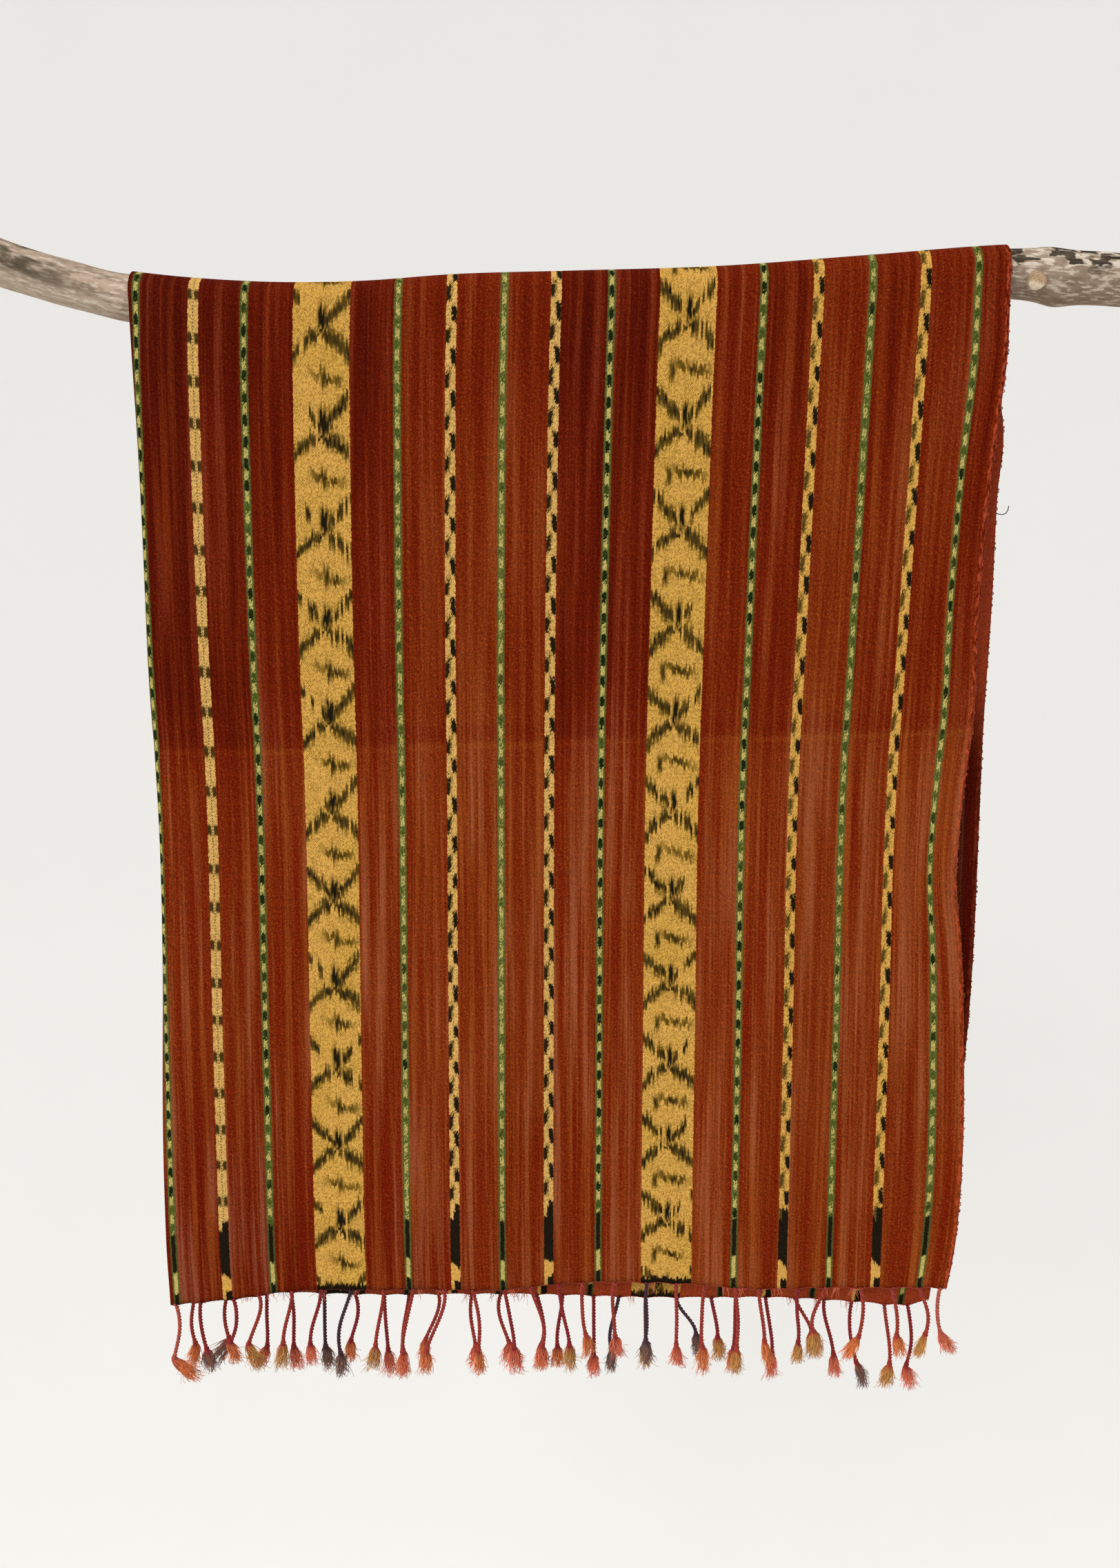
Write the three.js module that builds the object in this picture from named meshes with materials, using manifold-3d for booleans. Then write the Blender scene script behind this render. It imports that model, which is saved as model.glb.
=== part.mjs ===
// Striped handwoven cloth draped over a weathered branch, with a row of twisted cords along each hem.
// Millimetres, +X to the viewer's right, +Y away from the viewer, +Z up.
// The origin is on the branch's axis at the middle of the cloth.
import * as THREE from 'three';
import { mergeVertices } from 'three/addons/utils/BufferGeometryUtils.js';
import Module from 'manifold-3d';

const wasm = await Module();
wasm.setup();
const { Manifold, Mesh: SolidMesh } = wasm;

// Driving sizes of the cloth
const CLOTH_THICK = 1.5;
const CLOTH_CLEAR = 2.6;
const CLOTH_WIDTH = 868;
const FRONT_DROP = 1060;
const BACK_DROP = 1083;
const HEM_STRIP = 4;
const STRIP_GAP = 0.35;
const LAYER_LEAN = 29;
const CREASE_DROP = 450;
const CREASE_DEPTH = 2.2;

// Driving sizes of the branch
const BRANCH_LEFT = -600;
const BRANCH_RIGHT = 585;
const BRANCH_SIDES = 20;
const BRANCH_STEP = 26;
const OVAL = 0.03;
const RIPPLE = 0.02;

// Driving sizes of the cords
const CORD_RADIUS = 2.1;
const TUFT_RADIUS = 5.4;
const TUFT_LENGTH = 33;

// How finely the cloth is divided
const ACROSS = 34;
const FRONT_ROWS = 22;
const OVER_ROWS = 8;
const BACK_ROWS = 18;

// Branch from left to right: height and depth of its axis, and its radius
const BRANCH = [
  { x: -600, z: 44, y: 3, r: 23.5 },
  { x: -505, z: 15, y: 1, r: 22.8 },
  { x: -440, z: 0, y: 0, r: 22.6 },
  { x: -320, z: -10, y: -1, r: 22.4 },
  { x: -215, z: -10, y: -1, r: 22.4 },
  { x: -110, z: -3, y: 0, r: 22.6 },
  { x: 0, z: 0, y: 0, r: 22.6 },
  { x: 150, z: 5, y: 1, r: 22.4 },
  { x: 300, z: 15, y: 0, r: 22.6 },
  { x: 435, z: 24, y: -1, r: 23 },
  { x: 500, z: 21, y: -1, r: 24.5 },
  { x: 585, z: 17, y: 0, r: 25 },
];

// Swellings of the branch outside the cloth: place, direction around the axis in turns, height and spread
const SWELLINGS = [
  { x: 490, turn: 0.74, rise: 4.2, spread: 18 },
  { x: 478, turn: 0.26, rise: 2.6, spread: 18 },
  { x: -585, turn: 0.3, rise: 1.8, spread: 20 },
];

// Sawn-off twig on the front of the branch: place, direction around the axis in turns, radius and reach
const TWIG = { x: 463, turn: -0.083, radius: 9, reach: 25 };

// How far each side of the front half strays from half the width, to the right, from the branch down
const FRONT_SIDES = [
  { drop: 0, left: -2, right: 2 },
  { drop: 80, left: -2, right: 0 },
  { drop: 330, left: -3, right: -7 },
  { drop: 525, left: -1, right: -13 },
  { drop: 760, left: -5, right: -10 },
  { drop: 1000, left: -10, right: -8 },
  { drop: 1075, left: -9, right: -8 },
];

// Waves of the front half's right selvedge, sideways and towards the viewer
const SELVEDGE_WAVES = [
  { drop: 0, side: -1, lift: 0 },
  { drop: 60, side: 2, lift: 0 },
  { drop: 110, side: 1, lift: 1 },
  { drop: 160, side: -8, lift: 3 },
  { drop: 310, side: -8, lift: 2 },
  { drop: 430, side: -4, lift: 3 },
  { drop: 490, side: -8, lift: 4 },
  { drop: 590, side: -12, lift: 6 },
  { drop: 670, side: -3, lift: 3 },
  { drop: 780, side: 4, lift: 0 },
  { drop: 900, side: 8, lift: -2 },
  { drop: 1000, side: 4, lift: 0 },
  { drop: 1070, side: -6, lift: 3 },
];

// The same for the back half
const BACK_SIDES = [
  { drop: 0, left: -1, right: 2 },
  { drop: 60, left: 0, right: 9 },
  { drop: 130, left: 0, right: 20 },
  { drop: 190, left: 0, right: 16 },
  { drop: 300, left: 0, right: 14 },
  { drop: 430, left: -1, right: 9 },
  { drop: 500, left: -1, right: 8 },
  { drop: 750, left: -2, right: 5 },
  { drop: 930, left: -7, right: -6 },
  { drop: 1090, left: -12, right: -24 },
];

// How far each hem sags below its half's drop
const FRONT_HEM = [
  { x: -445, sag: 18 },
  { x: -374, sag: 11 },
  { x: -300, sag: 5 },
  { x: -200, sag: 0 },
  { x: -60, sag: -1 },
  { x: 50, sag: -6 },
  { x: 150, sag: -4 },
  { x: 300, sag: 0 },
  { x: 425, sag: -1 },
];
const BACK_HEM = [
  { x: -450, sag: -8 },
  { x: -330, sag: -7 },
  { x: -200, sag: -5 },
  { x: -80, sag: -2 },
  { x: 60, sag: 0 },
  { x: 220, sag: 0 },
  { x: 320, sag: 7 },
  { x: 385, sag: 11 },
  { x: 415, sag: 3 },
];

// Cords of the front hem: place of the root, sideways swing, hang, sideways bow and lean of the tuft
const FRONT_CORDS = [
  { root: -437, swing: -5, hang: 67, bow: 5, lean: 22 },
  { root: -409, swing: 5, hang: 60, bow: -3, lean: 2 },
  { root: -373, swing: -6, hang: 56, bow: 5, lean: 7 },
  { root: -345, swing: -16, hang: 63, bow: 5, lean: 10 },
  { root: -309, swing: -13, hang: 67, bow: 0, lean: -3 },
  { root: -277, swing: -14, hang: 68, bow: 0, lean: 0 },
  { root: -242, swing: -14, hang: 81, bow: -6, lean: 0 },
  { root: -206, swing: -11, hang: 72, bow: 0, lean: -3 },
  { root: -173, swing: -12, hang: 78, bow: -3, lean: 0 },
  { root: -139, swing: -22, hang: 78, bow: 4, lean: 0 },
  { root: -107, swing: 5, hang: 75, bow: 4, lean: 2 },
  { root: -72, swing: 9, hang: 73, bow: 2, lean: 3 },
  { root: -44, swing: 13, hang: 75, bow: 6, lean: 0 },
  { root: -12, swing: 11, hang: 78, bow: 0, lean: 1 },
  { root: 15, swing: 4, hang: 67, bow: -3, lean: 2 },
  { root: 50, swing: 2, hang: 69, bow: -3, lean: 3 },
  { root: 86, swing: 0, hang: 73, bow: -2, lean: 0 },
  { root: 118, swing: 2, hang: 79, bow: 0, lean: 2 },
  { root: 150, swing: -1, hang: 76, bow: -3, lean: 0 },
  { root: 183, swing: 3, hang: 77, bow: 2, lean: 0 },
  { root: 209, swing: 8, hang: 66, bow: 0, lean: 4 },
  { root: 252, swing: 3, hang: 70, bow: 0, lean: 1 },
  { root: 285, swing: -12, hang: 55, bow: -6, lean: 3 },
  { root: 322, swing: -1, hang: 60, bow: 5, lean: -11 },
  { root: 358, swing: 8, hang: 61, bow: 3, lean: 6 },
  { root: 390, swing: 9, hang: 58, bow: 6, lean: -6 },
  { root: 415, swing: 4, hang: 58, bow: -4, lean: 9 },
];

// Cords of the back hem
const BACK_CORDS = [
  { root: -423, swing: -5, hang: 72, bow: -4, lean: -3 },
  { root: -384, swing: -3, hang: 65, bow: -7, lean: -18 },
  { root: -342, swing: -2, hang: 72, bow: 0, lean: -9 },
  { root: -314, swing: 0, hang: 71, bow: 2, lean: 4 },
  { root: -276, swing: 0, hang: 67, bow: 0, lean: 4 },
  { root: -241, swing: -7, hang: 61, bow: 5, lean: 0 },
  { root: -208, swing: 2, hang: 73, bow: 0, lean: 2 },
  { root: -180, swing: -8, hang: 73, bow: -2, lean: -2 },
  { root: -147, swing: -16, hang: 59, bow: 4, lean: -1 },
  { root: -109, swing: 3, hang: 67, bow: -3, lean: 0 },
  { root: -76, swing: 9, hang: 65, bow: -6, lean: -2 },
  { root: -36, swing: 5, hang: 65, bow: 5, lean: 2 },
  { root: -6, swing: -6, hang: 67, bow: -1, lean: -1 },
  { root: 29, swing: -1, hang: 74, bow: 1, lean: 0 },
  { root: 58, swing: -9, hang: 68, bow: -3, lean: -1 },
  { root: 88, swing: -1, hang: 62, bow: 2, lean: 3 },
  { root: 123, swing: 24, hang: 50, bow: 0, lean: 3 },
  { root: 162, swing: 8, hang: 54, bow: 2, lean: 3 },
  { root: 190, swing: -1, hang: 66, bow: 0, lean: 0 },
  { root: 224, swing: 9, hang: 75, bow: 2, lean: 0 },
  { root: 258, swing: 18, hang: 46, bow: 3, lean: 5 },
  { root: 292, swing: 14, hang: 72, bow: -2, lean: 2 },
  { root: 324, swing: 7, hang: 78, bow: -4, lean: 9 },
  { root: 361, swing: 8, hang: 78, bow: 2, lean: -4 },
  { root: 387, swing: 1, hang: 78, bow: 5, lean: 7 },
];

// Rings of one cord from root to tip: share of the cord's hang, share of the tuft and radius
const CORD_RINGS = [
  { cord: 0, tuft: 0, radius: CORD_RADIUS },
  { cord: 0.3, tuft: 0, radius: CORD_RADIUS },
  { cord: 0.65, tuft: 0, radius: CORD_RADIUS },
  { cord: 1, tuft: 0, radius: CORD_RADIUS * 1.1 },
  { cord: 1, tuft: 0.35, radius: TUFT_RADIUS },
  { cord: 1, tuft: 0.75, radius: TUFT_RADIUS * 0.9 },
  { cord: 1, tuft: 1, radius: TUFT_RADIUS * 0.35 },
];

// Smooth curve through one column of a table, read at a place on its key column
function curve(table, key, column, at) {
  const last = table.length - 1;
  const clamped = THREE.MathUtils.clamp(at, table[0][key], table[last][key]);
  let i = 0;
  while (i < last - 1 && clamped > table[i + 1][key]) i += 1;
  const a = table[i];
  const b = table[i + 1];
  const before = table[Math.max(i - 1, 0)];
  const after = table[Math.min(i + 2, last)];
  const span = b[key] - a[key];
  const t = (clamped - a[key]) / span;
  const startSlope = (b[column] - before[column]) / (b[key] - before[key]) * span;
  const endSlope = (after[column] - a[column]) / (after[key] - a[key]) * span;
  const t2 = t * t;
  const t3 = t2 * t;
  return a[column] * (2 * t3 - 3 * t2 + 1) + startSlope * (t3 - 2 * t2 + t)
    + b[column] * (3 * t2 - 2 * t3) + endSlope * (t3 - t2);
}

const axisHeight = (x) => curve(BRANCH, 'x', 'z', x);
const axisDepth = (x) => curve(BRANCH, 'x', 'y', x);
const axisRadius = (x) => curve(BRANCH, 'x', 'r', x);

// Distance of the cloth's middle surface from the branch's axis
const wrapRadius = (x) => axisRadius(x) * (1 + OVAL + RIPPLE) + CLOTH_CLEAR + CLOTH_THICK / 2;

// Radius of the branch at a place and direction, with its oval section, ripples and swellings
function barkRadius(x, angle) {
  const oval = OVAL * Math.cos(2 * (angle - 0.5));
  const ripple = RIPPLE * Math.cos(3 * angle + x / 90);
  let radius = axisRadius(x) * (1 + oval + ripple);
  for (const swelling of SWELLINGS) {
    const along = (x - swelling.x) / swelling.spread;
    const around = Math.cos(angle - swelling.turn * 2 * Math.PI);
    radius += swelling.rise * Math.exp(-along * along) * Math.max(0, around) ** 3;
  }
  return radius;
}

// Closed geometry from a list of points and triangles
function geometryOf(points, triangles) {
  const geometry = new THREE.BufferGeometry();
  const flat = points.flatMap((p) => [p.x, p.y, p.z]);
  geometry.setAttribute('position', new THREE.Float32BufferAttribute(flat, 3));
  geometry.setIndex(triangles.flat());
  return geometry;
}

// Tube through rings that all have the same number of points, closed by a fan at each end
function tube(rings) {
  const sides = rings[0].length;
  const points = rings.flat();
  const triangles = [];
  for (let i = 0; i < rings.length - 1; i += 1) {
    for (let k = 0; k < sides; k += 1) {
      const a = i * sides + k;
      const b = i * sides + (k + 1) % sides;
      triangles.push([a, a + sides, b], [b, a + sides, b + sides]);
    }
  }
  const lastRing = (rings.length - 1) * sides;
  for (let k = 1; k < sides - 1; k += 1) {
    triangles.push([0, k, k + 1], [lastRing, lastRing + k + 1, lastRing + k]);
  }
  return geometryOf(points, triangles);
}

// Sheet of even thickness about a grid of points on its middle surface
function thickSheet(grid, thick) {
  const rows = grid.length;
  const columns = grid[0].length;
  const within = (k, count) => THREE.MathUtils.clamp(k, 0, count - 1);
  const at = (i, j) => grid[within(i, rows)][within(j, columns)];
  const near = [];
  const far = [];
  for (let i = 0; i < rows; i += 1) {
    for (let j = 0; j < columns; j += 1) {
      const along = at(i + 1, j).clone().sub(at(i - 1, j));
      const across = at(i, j + 1).clone().sub(at(i, j - 1));
      const normal = across.cross(along).normalize().multiplyScalar(thick / 2);
      near.push(at(i, j).clone().add(normal));
      far.push(at(i, j).clone().sub(normal));
    }
  }
  const count = near.length;
  const triangles = [];
  const quad = (a, b, c, d) => triangles.push([a, b, c], [a, c, d]);
  const index = (i, j) => i * columns + j;
  for (let i = 0; i < rows - 1; i += 1) {
    for (let j = 0; j < columns - 1; j += 1) {
      const corners = [index(i, j), index(i, j + 1), index(i + 1, j + 1), index(i + 1, j)];
      quad(...corners);
      quad(...corners.reverse().map((k) => count + k));
    }
  }
  const rim = [];
  for (let j = 0; j < columns - 1; j += 1) rim.push(index(0, j));
  for (let i = 0; i < rows - 1; i += 1) rim.push(index(i, columns - 1));
  for (let j = columns - 1; j > 0; j -= 1) rim.push(index(rows - 1, j));
  for (let i = rows - 1; i > 0; i -= 1) rim.push(index(i, 0));
  rim.forEach((a, k) => {
    const b = rim[(k + 1) % rim.length];
    quad(a, count + a, count + b, b);
  });
  return geometryOf([...near, ...far], triangles);
}

// Solid for joining, from a geometry with only positions
function solidOf(geometry) {
  const merged = mergeVertices(geometry, 1e-5);
  return new Manifold(new SolidMesh({
    numProp: 3,
    vertProperties: Float32Array.from(merged.getAttribute('position').array),
    triVerts: Uint32Array.from(merged.getIndex().array),
  }));
}

// Geometry of a joined solid
function geometryFrom(solid) {
  const mesh = solid.getMesh();
  const geometry = new THREE.BufferGeometry();
  geometry.setAttribute('position', new THREE.BufferAttribute(Float32Array.from(mesh.vertProperties), 3));
  geometry.setIndex(new THREE.BufferAttribute(Uint32Array.from(mesh.triVerts), 1));
  return geometry;
}

// Soft start and end between 0 and 1
const ease = (t) => THREE.MathUtils.smoothstep(t, 0, 1);

// Depth of the front half's slow folds, which open towards the hem
function frontFold(x, drop) {
  const open = ease(drop / 900);
  const broad = 4 * Math.sin(x / 52 + 0.8) * open;
  const fine = 1.6 * Math.sin(x / 23 + 2) * open * open;
  const crease = CREASE_DEPTH * Math.exp(-(((drop - CREASE_DROP) / 26) ** 2));
  return broad + fine + crease;
}

// Depth of the back half's folds, with the lean that brings it behind the front half
function backFold(x, drop) {
  const open = ease(drop / 900);
  const broad = 3 * Math.sin(x / 61 + 2.2) * open;
  return broad - LAYER_LEAN * ease(drop / 760);
}

// Place across one half: share of the way from its left side to its right side
function placeAcross(sides, share, drop) {
  const left = -CLOTH_WIDTH / 2 + curve(sides, 'drop', 'left', drop);
  const right = CLOTH_WIDTH / 2 + curve(sides, 'drop', 'right', drop);
  return left + (right - left) * share;
}

// Point on the front half at a share across and a drop below the origin, its height left open
function frontPoint(share, drop) {
  const edge = ease((share - 0.9) / 0.1);
  const x = placeAcross(FRONT_SIDES, share, drop) + edge * curve(SELVEDGE_WAVES, 'drop', 'side', drop);
  const lift = edge * curve(SELVEDGE_WAVES, 'drop', 'lift', drop);
  const y = axisDepth(x) - wrapRadius(x) + frontFold(x, drop) - lift;
  return new THREE.Vector3(x, y, 0);
}

// The same on the back half
function backPoint(share, drop) {
  const x = placeAcross(BACK_SIDES, share, drop);
  return new THREE.Vector3(x, axisDepth(x) + wrapRadius(x) + backFold(x, drop), 0);
}

const FRONT = { point: frontPoint, hem: FRONT_HEM, drop: FRONT_DROP, cords: FRONT_CORDS };
const BACK = { point: backPoint, hem: BACK_HEM, drop: BACK_DROP, cords: BACK_CORDS };

// Point of a half: share across, and share of the way down from the axis to the hem less a raise
function hangingPoint(half, share, down, raise) {
  const x = half.point(share, down * half.drop).x;
  const top = axisHeight(x);
  const bottom = raise - half.drop - curve(half.hem, 'x', 'sag', x);
  const height = top + (bottom - top) * down;
  return half.point(share, Math.max(0, -height)).setZ(height);
}

// Point over the top of the branch, angle from 0 at the front to pi at the back
function overPoint(share, angle) {
  const x = frontPoint(share, 0).x;
  const radius = wrapRadius(x);
  const y = axisDepth(x) - radius * Math.cos(angle);
  return new THREE.Vector3(x, y, axisHeight(x) + radius * Math.sin(angle));
}

// Middle surface of the whole cloth from the front hem, over the branch, to the back hem
function clothGrid() {
  const raise = HEM_STRIP + STRIP_GAP;
  const shares = Array.from({ length: ACROSS + 1 }, (_, j) => j / ACROSS);
  const grid = [];
  for (let i = 0; i < FRONT_ROWS; i += 1) {
    grid.push(shares.map((s) => hangingPoint(FRONT, s, 1 - i / FRONT_ROWS, raise)));
  }
  for (let i = 0; i <= OVER_ROWS; i += 1) {
    grid.push(shares.map((s) => overPoint(s, Math.PI * i / OVER_ROWS)));
  }
  for (let i = 1; i <= BACK_ROWS; i += 1) {
    grid.push(shares.map((s) => hangingPoint(BACK, s, i / BACK_ROWS, raise)));
  }
  return grid;
}

// Narrow strip below a hem with its cords and tufts joined to it
function fringe(half) {
  const shares = Array.from({ length: ACROSS + 1 }, (_, j) => j / ACROSS);
  const top = shares.map((s) => hangingPoint(half, s, 1, HEM_STRIP));
  const bottom = shares.map((s) => hangingPoint(half, s, 1, 0));
  let solid = solidOf(thickSheet(half === FRONT ? [bottom, top] : [top, bottom], CLOTH_THICK));
  const start = bottom[0].x;
  const width = bottom[ACROSS].x - start;
  for (const cord of half.cords) {
    const share = THREE.MathUtils.clamp((cord.root - start) / width, 0.004, 0.996);
    const root = hangingPoint(half, share, 1, HEM_STRIP / 2);
    solid = solid.add(solidOf(tube(cordRings(root, cord))));
  }
  return geometryFrom(solid);
}

// Square rings of one cord that swings and bows sideways and ends in a tuft
function cordRings(root, cord) {
  return CORD_RINGS.map((ring) => {
    const bow = 4 * cord.bow * ring.cord * (1 - ring.cord);
    const x = root.x + cord.swing * ease(ring.cord) + bow + cord.lean * ring.tuft;
    const z = root.z - cord.hang * ring.cord - TUFT_LENGTH * ring.tuft;
    return [0, 1, 2, 3].map((k) => {
      const angle = Math.PI * (0.25 + k / 2);
      return new THREE.Vector3(x + ring.radius * Math.cos(angle), root.y + ring.radius * Math.sin(angle), z);
    });
  });
}

// Branch with flat sawn ends and the sawn-off twig
function branchGeometry() {
  const steps = Math.round((BRANCH_RIGHT - BRANCH_LEFT) / BRANCH_STEP);
  const rings = [];
  for (let i = 0; i <= steps; i += 1) {
    const x = BRANCH_LEFT + (BRANCH_RIGHT - BRANCH_LEFT) * i / steps;
    const ring = [];
    for (let k = 0; k < BRANCH_SIDES; k += 1) {
      const angle = 2 * Math.PI * k / BRANCH_SIDES;
      const radius = barkRadius(x, angle);
      const y = axisDepth(x) - radius * Math.cos(angle);
      ring.push(new THREE.Vector3(x, y, axisHeight(x) + radius * Math.sin(angle)));
    }
    rings.push(ring);
  }
  const twig = new THREE.CylinderGeometry(TWIG.radius * 0.9, TWIG.radius * 1.25, TWIG.reach, 14);
  twig.deleteAttribute('normal');
  twig.deleteAttribute('uv');
  const turn = TWIG.turn * 2 * Math.PI;
  const middle = TWIG.reach / 2;
  twig.rotateX(Math.PI - turn);
  twig.translate(
    TWIG.x,
    axisDepth(TWIG.x) - middle * Math.cos(turn),
    axisHeight(TWIG.x) + middle * Math.sin(turn),
  );
  return geometryFrom(solidOf(tube(rings)).add(solidOf(twig)));
}

// Named piece with its colour
function piece(name, geometry, colour, roughness) {
  const material = new THREE.MeshStandardMaterial({ color: colour, roughness, metalness: 0 });
  const mesh = new THREE.Mesh(geometry, material);
  mesh.name = name;
  return mesh;
}

const hanging = new THREE.Group();
hanging.name = 'ikat_cloth_on_branch';
hanging.add(piece('branch', branchGeometry(), 0xb9a58c, 0.85));
hanging.add(piece('cloth', thickSheet(clothGrid(), CLOTH_THICK), 0x8a3a22, 0.95));
hanging.add(piece('fringe_front', fringe(FRONT), 0xb4472c, 0.95));
hanging.add(piece('fringe_back', fringe(BACK), 0xa8402a, 0.95));

export default hanging;
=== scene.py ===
"""Striped ikat cloth draped over a weathered branch, with twisted cords along both hems.

Tables hold millimetres in the part's own frame: +X to the right, +Y away, +Z up, and the
origin on the branch's axis at the middle of the cloth. Meshes are stored in metres.
"""

import logging
import math
from collections.abc import Sequence
from dataclasses import dataclass, field
from enum import Enum

import bpy
import numpy as np
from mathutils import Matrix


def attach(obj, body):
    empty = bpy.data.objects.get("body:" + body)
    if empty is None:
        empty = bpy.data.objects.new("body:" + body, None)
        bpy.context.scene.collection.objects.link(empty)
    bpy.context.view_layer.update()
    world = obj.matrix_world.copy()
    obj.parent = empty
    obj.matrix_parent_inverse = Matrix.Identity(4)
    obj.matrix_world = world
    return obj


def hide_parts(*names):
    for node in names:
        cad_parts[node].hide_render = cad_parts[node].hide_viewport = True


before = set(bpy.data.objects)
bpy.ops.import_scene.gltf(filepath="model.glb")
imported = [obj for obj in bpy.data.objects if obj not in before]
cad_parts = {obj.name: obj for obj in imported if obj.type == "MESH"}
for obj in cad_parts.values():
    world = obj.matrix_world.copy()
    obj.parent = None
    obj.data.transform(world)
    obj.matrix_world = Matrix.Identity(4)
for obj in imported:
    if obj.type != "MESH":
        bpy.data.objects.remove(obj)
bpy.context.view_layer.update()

LOG = logging.getLogger("ikat_cloth")
MM = 0.001
MM_PER_METRE = 1000.0
BODY = "root"
PHOTO_HEIGHT = 2274

Array = np.ndarray
Colour = tuple[float, float, float, float]
Pair = tuple[float, float]


class Slot(Enum):
    """Material slots of the record."""

    WOOD = "wood"
    WEAVE = "weave"
    CORDS = "cords"


class Dye(Enum):
    """Colours of the yarns and the wood, as display red, green and blue.

    Bronze is partly the yarn's own colour and partly painted shade in the gaps between the twill ribs.
    """

    MAROON = (72, 10, 4)
    RUSSET = (108, 24, 4)
    CLARET = (126, 18, 6)
    TERRACOTTA = (145, 69, 22)
    SELVEDGE = (188, 78, 46)
    OCHRE = (209, 159, 77)
    MUSTARD = (196, 151, 60)
    HONEY = (212, 167, 94)
    STRAW = (188, 170, 96)
    LEAF = (86, 94, 44)
    MOSS = (70, 84, 26)
    BOTTLE = (25, 34, 15)
    OLIVE = (108, 82, 22)
    SOOT = (30, 24, 15)
    BRONZE = (134, 92, 22)
    DUST = (160, 82, 32)
    ASHEN = (170, 104, 76)
    BRICK = (154, 48, 34)
    CRIMSON = (138, 28, 28)
    ROSE = (180, 84, 64)
    PLUM = (64, 34, 44)
    ORANGE = (224, 124, 62)
    SALMON = (222, 110, 78)
    GOLD = (194, 142, 68)
    ASH = (98, 84, 78)
    BEIGE = (192, 168, 146)
    DRIFT = (160, 140, 120)
    PALE = (222, 206, 186)
    BARK = (46, 34, 27)
    UMBER = (112, 84, 62)
    LICHEN = (134, 114, 94)
    MOULD = (84, 74, 58)
    HEARTWOOD = (214, 170, 122)
    CREAM = (242, 220, 188)

    @property
    def linear(self) -> Colour:
        """The colour in linear light by the sRGB curve, with full opacity.

        Returns:
            Red, green, blue and opacity.
        """
        share = np.array(self.value) / 255.0
        red, green, blue = np.where(share > 0.04045, ((share + 0.055) / 1.055) ** 2.4, share / 12.92)
        return (float(red), float(green), float(blue), 1.0)

    @property
    def rgb(self) -> Array:
        """The colour in linear light as three numbers."""
        return np.array(self.linear[:3])


def ease(share: Array | float) -> Array:
    """Soft start and end between 0 and 1: 3 t squared less 2 t cubed."""
    t = np.clip(share, 0.0, 1.0)
    return t * t * (3.0 - 2.0 * t)


def curve(rows: Array, column: int, at: Array | float) -> Array:
    """Smooth curve through one column of a table.

    A cubic between each two rows, whose slope at a row is the slope between its neighbours.

    Args:
        rows: Table whose first column is the key, in rising order.
        column: The column to read.
        at: Places on the key column, held within its ends.

    Returns:
        The column's value at each place.
    """
    keys = rows[:, 0]
    values = rows[:, column]
    last = len(keys) - 1
    place = np.clip(at, keys[0], keys[last])
    low = np.clip(np.searchsorted(keys, place, side="right") - 1, 0, last - 1)
    before = np.maximum(low - 1, 0)
    after = np.minimum(low + 2, last)
    span = keys[low + 1] - keys[low]
    t = (place - keys[low]) / span
    start = (values[low + 1] - values[before]) / (keys[low + 1] - keys[before]) * span
    end = (values[after] - values[low]) / (keys[after] - keys[low]) * span
    rise = ease(t)
    return (
        values[low] * (1.0 - rise)
        + values[low + 1] * rise
        + start * t * (1.0 - t) ** 2
        - end * t * t * (1.0 - t)
    )


def table(*rows: Sequence[float]) -> Array:
    """Number table from its rows."""
    return np.array(rows, dtype=float)


@dataclass(frozen=True)
class Wave:
    """A wave in millimetres: its height, how far one radian reaches, and where it starts."""

    height: float
    reach: float
    start: float = 0.0

    def at(self, place: Array) -> Array:
        """Height of the wave at each place."""
        return self.height * np.sin(place / self.reach + self.start)


def make_piece(name: str, points: Array, faces: list[list[int]]) -> bpy.types.Object:
    """Object at the origin with smooth faces, its place in its mesh.

    Args:
        name: Name of the piece.
        points: Vertices in millimetres, one row each.
        faces: Vertex numbers of each face, outward side anticlockwise.

    Returns:
        The object, linked to the scene.
    """
    mesh = bpy.data.meshes.new(name)
    mesh.from_pydata(points.reshape(-1, 3) * MM, [], faces)
    mesh.polygons.foreach_set("use_smooth", np.ones(len(mesh.polygons), dtype=bool))
    mesh.update()
    piece = bpy.data.objects.new(name, mesh)
    bpy.context.scene.collection.objects.link(piece)
    return piece


def lay_map(piece: bpy.types.Object, name: str, places: Array) -> None:
    """Gives a piece a UV map from one pair of numbers per vertex.

    Args:
        piece: The piece.
        name: Name of the map.
        places: Two numbers per vertex.
    """
    mesh = piece.data
    corners = np.empty(len(mesh.loops), dtype=np.int32)
    mesh.loops.foreach_get("vertex_index", corners)
    layer = mesh.uv_layers.new(name=name)
    layer.data.foreach_set("uv", places.reshape(-1, 2)[corners].astype(np.float32).ravel())


def lay_colour(piece: bpy.types.Object, name: str, colours: Array) -> None:
    """Gives a piece a colour attribute from one linear colour per vertex.

    Args:
        piece: The piece.
        name: Name of the attribute.
        colours: Three numbers per vertex.
    """
    rows = np.ones((len(piece.data.vertices), 4), dtype=np.float32)
    rows[:, :3] = colours.reshape(-1, 3)
    piece.data.color_attributes.new(name, "FLOAT_COLOR", "POINT").data.foreach_set("color", rows.ravel())


def lay_vector(piece: bpy.types.Object, name: str, vectors: Array) -> None:
    """Gives a piece a vector attribute from one vector per vertex."""
    layer = piece.data.attributes.new(name, "FLOAT_VECTOR", "POINT")
    layer.data.foreach_set("vector", vectors.astype(np.float32).ravel())


def grid_faces(rows: int, columns: int) -> list[list[int]]:
    """Four-cornered faces of a grid whose points run along the columns first."""
    first = np.arange(rows - 1)[:, None] * columns + np.arange(columns - 1)[None, :]
    return np.stack([first, first + 1, first + columns + 1, first + columns], -1).reshape(-1, 4).tolist()


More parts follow.
